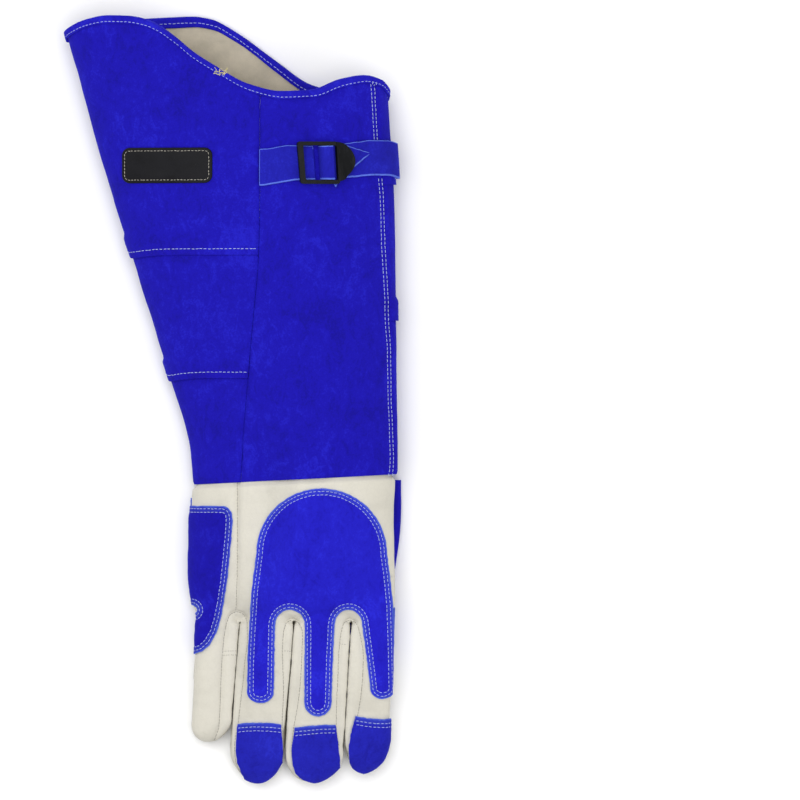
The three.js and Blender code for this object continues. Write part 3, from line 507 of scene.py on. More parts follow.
def pebble_group():
    """Soft grain leather: small pebbles between fine creases."""
    sheet, source, target = new_group(
        "Leather pebble",
        [("Vector", "NodeSocketVector", None)],
        [("Shade", "NodeSocketFloat"), ("Height", "NodeSocketFloat"), ("Crease", "NodeSocketFloat")],
    )
    at = source.outputs["Vector"]
    wobble = sheet.add("ShaderNodeVectorMath", operation="ADD")
    sheet.join(at, wobble.inputs[0])
    drift = sheet.add("ShaderNodeTexNoise")
    sheet.join(at, drift.inputs["Vector"])
    drift.inputs["Scale"].default_value = 300
    shrink = sheet.add("ShaderNodeVectorMath", operation="SCALE")
    shrink.inputs["Scale"].default_value = 0.0022
    sheet.join(drift.outputs["Color"], shrink.inputs[0])
    sheet.join(shrink.outputs[0], wobble.inputs[1])
    pebbles = sheet.cells(wobble.outputs[0], 620, "F1")
    crease = sheet.span(sheet.cells(wobble.outputs[0], 260, "DISTANCE_TO_EDGE"), 0.0, 0.09)
    clouds = sheet.noise(at, 34, 5, 0.6, 0.4)
    wrinkles = sheet.noise(sheet.stretched(at, (0.5, 1.7, 1.0)), 110, 5, 0.62, 1.0)
    sheet.join(clouds, target.inputs["Shade"])
    sheet.join(crease, target.inputs["Crease"])
    round_top = sheet.math("SUBTRACT", 0.7, pebbles)
    height = sheet.math("MULTIPLY", round_top, 0.35)
    height = sheet.math("ADD", height, sheet.math("MULTIPLY", crease, 0.12))
    height = sheet.math("ADD", height, sheet.math("MULTIPLY", wrinkles, 0.75))
    sheet.join(height, target.inputs["Height"])
    return sheet.tree


def weave_group():
    """Plain cloth: threads over and under along X and Y."""
    sheet, source, target = new_group(
        "Cloth weave",
        [("Vector", "NodeSocketVector", None), ("Pitch", "NodeSocketFloat", 0.0009)],
        [("Shade", "NodeSocketFloat"), ("Height", "NodeSocketFloat")],
    )
    split = sheet.add("ShaderNodeSeparateXYZ")
    sheet.join(source.outputs["Vector"], split.inputs[0])
    turn = sheet.math("DIVIDE", 2 * math.pi, source.outputs["Pitch"])
    across = sheet.math("SINE", sheet.math("MULTIPLY", split.outputs["X"], turn))
    along = sheet.math("SINE", sheet.math("MULTIPLY", split.outputs["Y"], turn))
    woven = sheet.math("MULTIPLY", across, along)
    sheet.join(sheet.span(woven, -1.0, 1.0), target.inputs["Height"])
    sheet.join(sheet.noise(source.outputs["Vector"], 60, 4, 0.6), target.inputs["Shade"])
    return sheet.tree


GROUPS = {}


def group_node(sheet, make, vector, **values):
    if make.__name__ not in GROUPS:
        GROUPS[make.__name__] = make()
    node = sheet.add("ShaderNodeGroup", node_tree=GROUPS[make.__name__])
    sheet.join(vector, node.inputs["Vector"])
    for key, value in values.items():
        node.inputs[key].default_value = value
    return node.outputs


def new_material(name):
    material = bpy.data.materials.new(name)
    material.use_nodes = True
    sheet = Sheet(material.node_tree)
    shader = material.node_tree.nodes["Principled BSDF"]
    at = sheet.add("ShaderNodeTexCoord").outputs["Object"]
    return material, sheet, shader, at


def suede_material(name, dark, middle, light, sheen=0.35, edge=None):
    """Brushed split leather. With an edge colour, its cut border is paler, by the piece's own attribute."""
    material, sheet, shader, at = new_material(name)
    nap = group_node(sheet, nap_group, at)
    base = sheet.mix(sheet.span(nap["Shade"], 0.38, 0.50), rgba(dark), rgba(middle))
    base = sheet.mix(sheet.span(nap["Shade"], 0.50, 0.61), base, rgba(light))
    if edge is not None:
        inside = sheet.add("ShaderNodeAttribute", attribute_name="inside").outputs["Fac"]
        ragged_in = sheet.math("ADD", inside, sheet.span(nap["Shade"], 0.3, 0.7, -0.9, 0.9))
        base = sheet.mix(sheet.span(ragged_in, 5.8, 3.6, 0.0, 0.16), base, rgba(edge))
        base = sheet.mix(sheet.span(ragged_in, 1.5, 0.2, 0.0, 0.75), base, rgba(edge))
    sheet.join(base, shader.inputs["Base Color"])
    shader.inputs["Roughness"].default_value = 0.95
    shader.inputs["Specular IOR Level"].default_value = 0.15
    shader.inputs["Sheen Weight"].default_value = sheen
    shader.inputs["Sheen Roughness"].default_value = 0.45
    shader.inputs["Sheen Tint"].default_value = rgba(light)
    sheet.join(sheet.bump(nap["Height"], 0.0006, 0.55), shader.inputs["Normal"])
    return material


def grain_material(name, dark, middle, light, roughness=0.55, shine=0.35):
    material, sheet, shader, at = new_material(name)
    grain = group_node(sheet, pebble_group, at)
    base = sheet.mix(sheet.span(grain["Shade"], 0.3, 0.52), rgba(dark), rgba(middle))
    base = sheet.mix(sheet.span(grain["Shade"], 0.5, 0.72), base, rgba(light))
    # Darker in the creases between the pebbles.
    crease_darkening = sheet.math("MULTIPLY", sheet.math("SUBTRACT", 1.0, grain["Crease"]), 0.10)
    base = sheet.mix(crease_darkening, base, rgba([c * 0.72 for c in dark]))
    sheet.join(base, shader.inputs["Base Color"])
    rough = sheet.span(grain["Shade"], 0.25, 0.75, roughness - 0.07, roughness + 0.08)
    sheet.join(rough, shader.inputs["Roughness"])
    shader.inputs["Specular IOR Level"].default_value = shine
    sheet.join(sheet.bump(grain["Height"], 0.0004, 0.45), shader.inputs["Normal"])
    return material


def cloth_material(name, dark, light):
    material, sheet, shader, at = new_material(name)
    cloth = group_node(sheet, weave_group, at)
    base = sheet.mix(sheet.span(cloth["Shade"], 0.3, 0.7), rgba(dark), rgba(light))
    # Painted shade: the weave's low places, where the threads dip under, are darkened.
    base = sheet.mix(sheet.span(cloth["Height"], 0.2, 0.75, 0.35, 0.0), base, rgba([c * 0.6 for c in dark]))
    sheet.join(base, shader.inputs["Base Color"])
    shader.inputs["Roughness"].default_value = 0.9
    shader.inputs["Sheen Weight"].default_value = 0.2
    sheet.join(sheet.bump(cloth["Height"], 0.0003, 0.6), shader.inputs["Normal"])
    return material


def plastic_material(name, dark, light):
    material, sheet, shader, at = new_material(name)
    scuffs = sheet.noise(sheet.stretched(at, (1.0, 0.3, 1.0)), 420, 4, 0.7)
    base = sheet.mix(sheet.span(scuffs, 0.5, 0.75), rgba(dark), rgba(light))
    sheet.join(base, shader.inputs["Base Color"])
    sheet.join(sheet.span(scuffs, 0.35, 0.7, 0.34, 0.52), shader.inputs["Roughness"])
    shader.inputs["Specular IOR Level"].default_value = 0.09
    sheet.join(sheet.bump(sheet.noise(at, 1500, 2), 0.0002, 0.35), shader.inputs["Normal"])
    return material


def thread_material(name, dark, light):
    material, sheet, shader, at = new_material(name)
    ply = sheet.noise(at, 1400, 2, 0.6)
    base = sheet.mix(sheet.span(ply, 0.35, 0.65), rgba(dark), rgba(light))
    sheet.join(base, shader.inputs["Base Color"])
    shader.inputs["Roughness"].default_value = 0.7
    sheet.join(sheet.bump(ply, 0.0002, 0.5), shader.inputs["Normal"])
    return material


FINISHES = {}
# What is added to the blue where it is lighter, and the paler blue of cut edges
LIFT = np.array([0.004, 0.009, 0.02])
PALE = np.array([0.085, 0.14, 0.60])
# For dark, middle and light: the share of the blue and of the lift. Then whether a cut border shows.
# The patch finish is the same suede painted lighter, as painted light where the back patch faces the lamps,
# and the side finish is painted a little darker, as painted shade on the glove's side.
SUEDES = {
    "blue_suede": ((0.72, 0.97, 1.22), (0.0, 0.0, 0.6), False),
    "blue_patch_painted_lit": ((1.0, 1.25, 1.5), (0.2, 0.5, 1.3), True),
    "blue_cap": ((0.78, 0.98, 1.2), (0.6, 1.0, 1.7), True),
    "blue_binding": ((0.8, 1.05, 1.3), (0.0, 0.3, 1.0), False),
    "blue_side_painted_shade": ((0.7, 0.9, 1.12), (0.0, 0.0, 0.6), True),
    "blue_strap": ((0.72, 0.88, 1.1), (0.5, 0.7, 1.3), False),
}


def blue_leather(name, blue):
    shares, lifts, bordered = SUEDES[name]
    shades = [blue * share + LIFT * lift for share, lift in zip(shares, lifts)]
    return suede_material(name, *shades, edge=PALE if bordered else None)


def finish(name):
    """The finish of that name, made on its first use from the colours in the panel."""
    if name not in FINISHES:
        colours = bpy.context.scene.glove_colours
        blue, cream, thread, lining = (
            np.array(color) for color in (colours.suede, colours.grain, colours.thread, colours.lining)
        )
        black = np.array([0.006, 0.006, 0.007])
        makers = {
            "cut_edge": lambda: suede_material(name, PALE * 0.7, PALE, PALE * 1.25, 0.6),
            "cream_leather": lambda: grain_material(name, cream * 0.93, cream, cream * 1.04),
            "label_leather": lambda: grain_material(
                name, black, np.array([0.009, 0.009, 0.011]), np.array([0.014, 0.014, 0.016]), 0.6, 0.1),
            "lining_cloth": lambda: cloth_material(name, lining * 0.85, lining * 1.1),
            "buckle_plastic": lambda: plastic_material(
                name, np.array([0.0035, 0.004, 0.0048]), np.array([0.011, 0.012, 0.014])),
            "thread": lambda: thread_material(name, thread * 0.75, thread),
            "label_thread": lambda: thread_material(
                name, np.array([0.3, 0.28, 0.24]), np.array([0.5, 0.47, 0.4])),
            "seam_thread": lambda: thread_material(name, cream * 0.3, cream * 0.42),
            "loose_thread": lambda: thread_material(
                name, np.array([0.45, 0.38, 0.16]), np.array([0.75, 0.68, 0.36])),
        }
        FINISHES[name] = blue_leather(name, blue) if name in SUEDES else makers[name]()
    return FINISHES[name]


# The cuff's panels


PANEL_STEP = 2.4
ROLL_WIDTH = 3.6


def cuff_panel(name, start, end, low, high, rolled, lapped, tucked):
    """A panel between two seams and two heights, each a function. Rolled is how far its start, end,
    low and high edges turn in, a lapped panel's lower edge lies on the panel below it, and a tucked
    one's upper edge lies under the panel above."""
    middle = 0.5 * (low(0.5) + high(0.5))
    turns = np.linspace(start(middle), end(middle), 400)
    length = lengths_along(sleeve_raw(turns, middle, 0.0))
    along = spaced(length[-1], PANEL_STEP)
    part = np.interp(along, length, np.linspace(0, 1, 400))
    rise = high(0.5) - low(0.5)
    up = spaced(rise, PANEL_STEP)
    if lapped:
        extra = np.array([LAP - 1, LAP + 1, LAP + 3, LAP + 5])
        up = np.unique(np.round(np.concatenate([up, extra[extra < rise - 5]]), 2))
    u, v = np.meshgrid(part, up / rise)
    y = low(u) + (high(u) - low(u)) * v
    for _ in range(4):
        turn = start(y) + (end(y) - start(y)) * u
        y = low(u, turn, y) + (high(u, turn, y) - low(u, turn, y)) * v
    from_low = y - low(u, turn, y)
    to_high = high(u, turn, y) - y
    from_start = along[None, :] + 0 * y
    to_end = length[-1] - from_start
    ends = smooth(np.minimum(from_start, to_end) / SEAM_EASE)
    proud = LIP * (0.25 + 0.75 * ends) * (1 - smooth((from_low - LAP - 0.4) / 5.0)) if lapped else 0 * y
    if tucked:
        proud = proud - 0.75 * LIP * (1 - ends) * (1 - smooth((to_high - LAP + 1) / 5.0))
    for amount, distance in zip(rolled, (from_start, to_end, from_low, to_high)):
        proud = proud - amount * np.clip(1 - distance / ROLL_WIDTH, 0, 1) ** 2.2
    puckers = 0.22 * noise(np.stack([from_start * 0.2, y, 0 * y], -1), 5.5, 9)
    near_seam = np.exp(-np.minimum(from_start, to_end) / SEAM_EASE)
    piece = grid_piece(name, sleeve(turn, y, proud + puckers * near_seam))
    if end(middle) > start(middle):
        flip(piece)
    thicken(piece, SUEDE)
    ease_edges(piece, 0.35)
    return piece


# A line round the cuff is a function of u, the part of the way from seam to seam. Without a turn and a
# height to work from it gives a first guess, level all the way.


def side_lap_line(back, palm, sag=2.6):
    """Level over the back with a little sag at the fold, then sloping along the palm to the palm seam."""
    fold_x = curve(CUFF_Y, CUFF_LEFT, back)

    def line(u, turn=None, at=None):
        if turn is None:
            return 0.5 * (back + palm) + 0.0 * np.asarray(u, float)
        x = sleeve_raw(turn, at, 0.0)[..., 0]
        slope = (palm - back) * (x - fold_x) / (palm_seam_x(palm) - fold_x)
        soft = smooth((turn - 0.47) / 0.06)
        return back - sag * smooth((turn - 0.36) / 0.12) * (1 - soft) + slope * soft

    return line


def palm_lap_line(seam, fold):
    """Level at the thumb side fold, and sloping up along the palm side to the palm seam."""
    fold_x = curve(CUFF_Y, CUFF_RIGHT, fold)

    def line(u, turn=None, at=None):
        if turn is None:
            return 0.5 * (seam + fold) + 0.0 * np.asarray(u, float)
        x = sleeve_raw(turn, at, 0.0)[..., 0]
        slope = (seam - fold) * (fold_x - x) / (fold_x - palm_seam_x(seam))
        soft = smooth((-np.asarray(turn) + 0.02) / 0.04)
        return fold + slope * soft

    return line


def above(line, step):
    """The same line, this much further up."""
    return lambda u, turn=None, at=None: line(u, turn, at) + step


def rim_line(u, turn=None, at=None):
    if turn is None:
        return 250.0 + 0.0 * np.asarray(u, float)
    return rim_y(turn) - BINDING - 2 * GAP


def wrist_line(u, turn=None, at=None):
    if turn is None:
        return WRIST_Y + 0.0 * np.asarray(u, float)
    return wrist_y(sleeve_raw(turn, at, 0.0)[..., 0])


SIDE_LAPS = [side_lap_line(113, 200), side_lap_line(17, 77)]
PALM_LAPS = [palm_lap_line(216, 168), palm_lap_line(118, 62)]
TUCKED = LAP - GAP


def past_fold(y):
    """The palm seam's turn, reached the other way round, past the thumb side fold."""
    return palm_seam_turn(y) - 1.0


CUFF = {}


class GLOVE_OT_cuff_panels(bpy.types.Operator):
    """Sew the cuff from its back panel, three side panels and three palm panels"""

    bl_idname = "glove.cuff_panels"
    bl_label = "Cuff panels"

    def execute(self, context):
        suede = finish("blue_suede")
        back = (stitched_turn, turned_turn)
        side = (turned_turn, palm_seam_turn)
        palm = (stitched_turn, past_fold)
        under_side = [above(line, TUCKED) for line in SIDE_LAPS]
        under_palm = [above(line, TUCKED) for line in PALM_LAPS]
        rows = [
            ("back_panel", back, wrist_line, rim_line, (0.9, 1.4, 0.9, 0), False),
            ("side_upper", side, SIDE_LAPS[0], rim_line, (1.4, 1.2, 0, 0), True),
            ("side_middle", side, SIDE_LAPS[1], under_side[0], (1.4, 1.2, 0, 0), True),
            ("side_lower", side, wrist_line, under_side[1], (1.4, 1.2, 0.9, 0), False),
            ("palm_upper", palm, PALM_LAPS[0], rim_line, (1.6, 1.2, 0, 0), True),
            ("palm_middle", palm, PALM_LAPS[1], under_palm[0], (1.6, 1.2, 0, 0), True),
            ("palm_lower", palm, wrist_line, under_palm[1], (1.6, 1.2, 0.9, 0), False),
        ]
        for label, (start, end), low, high, rolled, lapped in rows:
            name = "cuff_" + label
            piece = cuff_panel(name + "_leather", start, end, low, high, rolled, lapped, high is not rim_line)
            CUFF[name] = finish_piece(piece, suede, [name])
        return {"FINISHED"}


# Rim binding and lining

LINING_OUTER = -(SUEDE + GAP)
LINING_INNER = LINING_OUTER - LINING
BINDING_INNER = LINING_INNER - GAP - BINDING
# The lining starts this part of the way up from the wrist to the rim
LINING_FROM = 0.66
# Round the folded strip's section: how far below the rim, and how proud
BINDING_SECTION = [
    (6.0, 0.35), (6.25, 1.0), (6.1, 1.7), (5.6, 2.0), (4.9, 1.75), (4.1, 2.1), (2.6, 2.2), (1.2, 2.0),
    (0.45, 1.3), (0.05, 0.0), (-0.05, -1.6), (0.05, -3.2), (0.5, -4.6), (1.3, -5.35), (2.6, -5.5),
    (5.0, -5.3), (7.4, -5.45), (8.3, -5.2), (8.5, -4.5), (8.3, -3.75), (6.0, -3.45), (2.2, -3.45),
    (1.9, -2.0), (1.9, -0.4), (2.2, 0.3), (4.0, 0.3),
]


class GLOVE_OT_rim(bpy.types.Operator):
    """Fold the binding over the mouth of the cuff, and hang the cloth lining inside it"""

    bl_idname = "glove.rim"
    bl_label = "Rim binding and lining"

    def execute(self, context):
        turns = np.linspace(0, 1, 260, endpoint=False)
        depth = np.array([p[0] for p in BINDING_SECTION])
        proud = np.array([p[1] for p in BINDING_SECTION])
        wave = 0.35 * noise(np.stack([turns * 160, 0 * turns, 0 * turns], -1), 4.0, 5)
        y = rim_y(turns)[:, None] - depth[None, :] + wave[:, None] * (depth > 5)[None, :]
        piece = ring_piece("rim_binding_leather", sleeve(turns[:, None], y, proud[None, :]))
        face_out(piece)
        CUFF["rim_binding"] = finish_piece(piece, finish("blue_binding"), ["rim_binding"], 60)

        turns = np.linspace(0, 1, 221)
        low = wrist_y(sleeve_raw(turns, WRIST_Y, 0.0)[..., 0])
        top = rim_y(turns) - BINDING - 2 * GAP
        start = low + LINING_FROM * (rim_y(turns) - BINDING_WIDTH - low)
        v = np.linspace(0, 1, 46)[:, None]
        y = start + (top - start) * v
        turn = turns[None, :] + 0 * y
        place = sleeve_raw(turn, y, 0.0)
        over_seams = lining_over_seams(turn, place[..., 0], y) * smooth((top - y - 8) / 10)
        sag = np.abs(0.35 * noise(place, 14, 12))
        lining = grid_piece("cuff_lining_cloth", sleeve(turn, y, LINING_OUTER - sag - over_seams), True)
        face_out_tube(lining)
        thicken(lining, LINING)
        finish_piece(lining, finish("lining_cloth"), ["cuff_lining"], 60)
        return {"FINISHED"}


def lining_over_seams(turn, x, y):
    """How far the lining stands inwards where the seams of the cuff lie under it."""
    turned, stitched = curve(SEAM_Y, SEAM_TURNED, y), curve(SEAM_Y, SEAM_STITCHED, y)
    on_back = 0.7 * bell(x - turned, 6) + 0.7 * bell(x - stitched, 6)
    on_palm = 2.2 * bell(x - palm_seam_x(y), 8)
    return np.where(turn < 0.5, on_back, on_palm)


def face_out_tube(piece):
    """Turns an open tube's faces away from its middle line."""
    points, normals = points_of(piece), normals_of(piece)
    middle = points.mean(axis=0)
    outward = ((points - middle)[:, [0, 2]] * normals[:, [0, 2]]).sum()
    if outward < 0:
        flip(piece)


# Label


def rounded_outline(left, right, low, high, radius, inset, steps=9):
    """A rectangle with rounded corners, this far inside the given one."""
    radius = max(radius - inset, 0.6)
    left, right, low, high = left + inset, right - inset, low + inset, high - inset
    points = []
    for corner, (cx, cy) in enumerate(
        [(right - radius, high - radius), (left + radius, high - radius), (left + radius, low + radius),
         (right - radius, low + radius)]
    ):
        for i in range(steps + 1):
            angle = math.pi / 2 * (corner + i / steps)
            points.append((cx + radius * math.cos(angle), cy + radius * math.sin(angle)))
    return np.array(points)


def even_loop(points, step):
    """A closed line with even spacing."""
    closed = np.vstack([points, points[:1]])
    length = lengths_along(closed)
    count = max(8, round(length[-1] / step))
    at = np.linspace(0, length[-1], count, endpoint=False)
    return points_at(closed, length, at)


LABEL = {"left": -84.6, "right": -14.9, "low": 168.8, "high": 196.4, "radius": 6.0}
LABEL_STEP = 1.4
# From the patch's edge inwards: how far in, and how thick
LABEL_SECTION = [
    (0.0, 0.0), (0.0, 0.9), (0.35, 1.35), (1.0, PATCH), (1.9, 1.4), (2.5, 1.2), (3.1, 1.4), (4.2, 1.6),
    (6.5, 1.65), (9.0, 1.65), (11.5, 1.65), (13.4, 1.65),
]


def on_back(plan, proud):
    """Places on the cuff's back from places seen from above."""
    turn = turn_on_back(plan[..., 0], plan[..., 1])
    return sleeve(turn, plan[..., 1], proud)


class GLOVE_OT_label(bpy.types.Operator):
    """Sew the bare black label patch on the little finger side"""

    bl_idname = "glove.label"
    bl_label = "Label patch"

    def execute(self, context):
        rings = []
        base = even_loop(rounded_outline(**LABEL, inset=0.0), LABEL_STEP)
        middle = base.mean(axis=0)
        for inset, thick in LABEL_SECTION:
            ring = even_loop(rounded_outline(**LABEL, inset=inset), LABEL_STEP)
            at = np.linspace(0, 1, len(base), endpoint=False)
            own = np.linspace(0, 1, len(ring) + 1)
            ring = np.vstack([ring, ring[:1]])
            rings.append(on_back(points_at(ring, own, at), GAP + thick))
        rings = np.array(rings)
        bottom = on_back(middle + (base - middle) * 0.3, GAP)
        top_closed = np.vstack([bottom[None], rings])
        top_closed = np.concatenate([top_closed, top_closed[:, :1]], axis=1)
        piece = grid_piece("label_patch_leather", top_closed, True)
        in_edit_mode(
            piece, lambda: bpy.ops.mesh.select_all(action="DESELECT"), bpy.ops.mesh.select_non_manifold,
            lambda: bpy.ops.mesh.fill_holes(sides=0), select_all, turn_faces_out,
        )
        finish_piece(piece, finish("label_leather"), ["label_patch"], 50)
        return {"FINISHED"}


# Strap and buckle, laid out flat with s along the strap and h above the cuff, then wrapped onto it

STRAP_Y = 184.0
WRAP_TURNS = np.linspace(-0.5, 0.5, 721)
WRAP_LENGTH = lengths_along(sleeve_raw(WRAP_TURNS, STRAP_Y, 0.0))
WRAP_LENGTH = WRAP_LENGTH - np.interp(0.0, WRAP_TURNS, WRAP_LENGTH)
# Above the cuff: the middle of each layer of the strap, and the lower and upper face of the buckle
STRAP_GAP = 0.7
LAYER_1 = STRAP_GAP + STRAP / 2
LAYER_2 = LAYER_1 + STRAP + GAP
BAR_LOW = LAYER_2 + STRAP / 2 + GAP
BAR_HIGH = BAR_LOW + 2.4
OVER_BAR = BAR_HIGH + STRAP_GAP + STRAP / 2
# The buckle as seen from above: its rails, and where its bars start and end across the glove
WINDOW_Y = 184.4
BUCKLE_LOW, BUCKLE_HIGH, RAIL = 167.9, 200.9, 3.1
WINDOW_HALF = 13.0
FIRST_BAR, MIDDLE_BAR, LAST_BAR, TAB_X = (51.9, 56.1), (71.5, 75.5), (81.2, 86.6), 94.4
TAB_MIDDLE, TAB_HALF = 186.2, 12.6
BUCKLE_SEEN_AT = 6.5
# The short half: where it starts and ends across the glove, its middle at its root, and its half width
ANCHOR_FROM, ANCHOR_TO, ANCHOR_Y, ANCHOR_HALF = 21.8, 66, 180.8, 14.2
# The long half: its middle on the palm side and on the back, its half width, and where it narrows
TAIL_PALM_Y, TAIL_BACK_Y, TAIL_HALF, TAPER_X = 186.6, 188.5, 13.7, 112
# Its pointed end past the buckle: x, middle and half width
FREE_END = [
    (80.0, 182.2, 17.2), (82.6, 183.7, 15.5), (85, 185.4, 14.2), (89.5, 187.2, 11.4), (98, 189.2, 6.6),
    (108.5, 191.8, 0.8),
]
# How wide the pale cut edge shows along the strap's lower and upper side
EDGE_SEEN = (1.25, 0.6)
STRAP_STEP = 1.6


def along_x(x):
    """How far along the strap a place on the back lies, as seen from above at the buckle's height."""
    over = np.linspace(0, 0.5, 361)
    seen = sleeve_raw(over, STRAP_Y, BUCKLE_SEEN_AT)[:, 0]
    return float(np.interp(np.interp(-x, -seen, over), WRAP_TURNS, WRAP_LENGTH))


def wrapped(points):
    """Points given as (s, y, h) laid onto the cuff. The strap stands upright on the back."""
    points = np.asarray(points, float)
    turn = np.interp(points[..., 0], WRAP_LENGTH, WRAP_TURNS)
    x = sleeve_raw(turn, STRAP_Y, 0.0)[..., 0]
    upright = turn_on_back(x, points[..., 1]) - turn_on_back(x, STRAP_Y)
    weight = (0.35 + 0.65 * smooth((48 - x) / 16)) * smooth((turn - 0.05) / 0.08)
    return sleeve(turn + weight * upright, points[..., 1], points[..., 2])


def strap_piece(name, stations):
    """A strap along stations of (s, h, y, half width), with its real thickness."""
    stations = np.array(stations, float)
    length = lengths_along(stations[:, :2])
    at = np.linspace(0, length[-1], max(6, round(length[-1] / STRAP_STEP)))
    s, h, y, half = (curve(length, stations[:, k], at) for k in range(4))
    low_edge, high_edge = (half - np.minimum(width, 0.4 * half) for width in EDGE_SEEN)
    inner = np.array([-0.9, -0.6, -0.2, 0.2, 0.6, 0.9])[None, :] * low_edge[:, None]
    edge = np.column_stack([-half, -low_edge, inner, high_edge, half])
    uneven = 0.16 * noise(np.stack([at, 0 * at, 0 * at], -1), 2.6, 31)
    edge[:, :2] -= uneven[:, None]
    edge[:, -2:] += uneven[:, None]
    flat = np.stack([s[:, None] + 0 * edge, y[:, None] + edge, h[:, None] + 0 * edge], axis=-1)
    piece = grid_piece(name, wrapped(flat))
    columns = edge.shape[1]
    for face in piece.data.polygons:
        sides = [corner % columns for corner in face.vertices]
        face.material_index = int(min(sides) == 0 or max(sides) == columns - 1)
    thicken(piece, STRAP, 0.0, 1)
    ease_edges(piece, 0.5, 60, 2, 1)
    face_out(piece)
    return piece


class GLOVE_OT_strap(bpy.types.Operator):
    """Lay both halves of the strap on the cuff, the long one through the buckle"""

    bl_idname = "glove.strap"
    bl_label = "Strap"

    def execute(self, context):
        suede = finish("blue_strap")
        start, end = along_x(ANCHOR_FROM), along_x(ANCHOR_TO)
        anchor = []
        for t in np.linspace(0, 1, 10):
            narrowed = smooth((t - 0.35) / 0.6)
            middle = ANCHOR_Y + (WINDOW_Y - ANCHOR_Y) * smooth(t * 1.5)
            anchor.append((start + (end - start) * t, LAYER_1, middle, ANCHOR_HALF - 1.2 * narrowed))
        piece = strap_piece("strap_anchor_leather", anchor)
        for face in piece.data.polygons:
            in_window = abs(face.center.y - WINDOW_Y * MM) < (WINDOW_HALF - 1.6) * MM
            if in_window and face.center.x > (ANCHOR_TO - 4) * MM:
                face.material_index = 0
        finish_piece(piece, suede, ["strap_anchor"], 60, finish("cut_edge"))

        tail_start = float(np.interp(past_fold(STRAP_Y), WRAP_TURNS, WRAP_LENGTH)) + 1.5
        taper = along_x(TAPER_X)
        tail = []
        for s in np.arange(tail_start, taper - 3, 5):
            loose = 2.6 * math.exp(-(((s + 2) / 12) ** 2))
            middle = TAIL_PALM_Y + (TAIL_BACK_Y - TAIL_PALM_Y) * smooth((s - 2) / 14)
            tail.append((s, LAYER_1 + loose, middle, TAIL_HALF))
        window = along_x(MIDDLE_BAR[1]) + 1
        for t in np.linspace(0, 1, 6):
            middle = TAIL_BACK_Y + (WINDOW_Y - TAIL_BACK_Y) * t
            half = TAIL_HALF + (WINDOW_HALF - TAIL_HALF) * t
            tail.append((taper + (window - taper) * t, LAYER_1, middle, half))
        bar = along_x(MIDDLE_BAR[0])
        edge = bar + STRAP / 2 + GAP
        rise = OVER_BAR - LAYER_1
        over_bar = [
            (bar, LAYER_1), (edge, LAYER_1 + 0.3 * rise), (edge, LAYER_1 + 0.75 * rise), (bar, OVER_BAR),
            (along_x(76.6), OVER_BAR + 0.3), (along_x(78.6), LAYER_2 + 0.1),
        ]
        tail += [(s, height, WINDOW_Y, WINDOW_HALF) for s, height in over_bar]
        tail += [(along_x(x), LAYER_2, middle, half) for x, middle, half in FREE_END]
        piece = strap_piece("strap_tail_leather", tail)
        finish_piece(piece, suede, ["strap_tail"], 60, finish("cut_edge"))
        return {"FINISHED"}


def prism(name, outline, low, high):
    """A block over an outline seen from above: a circle's corners laid on the outline, then extruded."""
    deselect_all()
    bpy.ops.mesh.primitive_circle_add(vertices=len(outline), fill_type="NGON")
    piece = bpy.context.object
    piece.name = name
    set_points(piece.data, np.column_stack([np.asarray(outline, float), np.full(len(outline), low)]))
    rise = {"value": (0, 0, (high - low) * MM)}
    in_edit_mode(
        piece, lambda: bpy.ops.mesh.extrude_region_move(TRANSFORM_OT_translate=rise), select_all,
        bpy.ops.mesh.quads_convert_to_tris, turn_faces_out,
    )
    return piece


def combine(piece, other, operation, keep=False):
    """Joins or cuts a closed piece with another closed one."""
    apply(piece, "BOOLEAN", object=other, operation=operation, solver="MANIFOLD")
    if not keep:
        bpy.data.objects.remove(other)
    return piece


class GLOVE_OT_buckle(bpy.types.Operator):
    """Mould the ladder buckle with its two windows and its rounded tab"""

    bl_idname = "glove.buckle"
    bl_label = "Buckle"

    def execute(self, context):
        left, last, end, tab = (-along_x(x) for x in (FIRST_BAR[0], *LAST_BAR, TAB_X))
        outline = rounded_outline(left, last + 1.5, BUCKLE_LOW, BUCKLE_HIGH, 2.2, 0.0, 4)
        frame_block = prism("buckle_moulding", outline, BAR_LOW, BAR_HIGH)
        windows = [(-along_x(FIRST_BAR[1]), -along_x(MIDDLE_BAR[0])), (-along_x(MIDDLE_BAR[1]), last + 0.2)]
        for from_s, to_s in windows:
            outline = rounded_outline(from_s, to_s, BUCKLE_LOW + RAIL, BUCKLE_HIGH - RAIL, 1.2, 0.0, 4)
            combine(frame_block, prism("window", outline, BAR_LOW - 5, BAR_HIGH + 5), "DIFFERENCE")
        shoulders = [(last, 170.0, 200.6), (last + 2.5, 170.4, 200.4), (end, 171.6, 199.4)]
        outline = [(s, low) for s, low, high in shoulders]
        for t in np.linspace(-1, 1, 13):
            reach = (tab - end - 1.0) * (1 - abs(t) ** 2.1)
            outline.append((end + 1.0 + reach, TAB_MIDDLE + t * TAB_HALF))
        outline += [(s, high) for s, low, high in reversed(shoulders)]
        tab_block = prism("tab", outline, BAR_LOW, BAR_HIGH + 0.6)
        combine(frame_block, tab_block, "UNION")
        ease_edges(frame_block, 0.55, 40, 3)
        points = points_of(frame_block)
        points[:, 0] *= -1
        set_points(frame_block.data, wrapped(points))
        face_out(frame_block)
        finish_piece(frame_block, finish("buckle_plastic"), ["buckle"], 35)
        return {"FINISHED"}


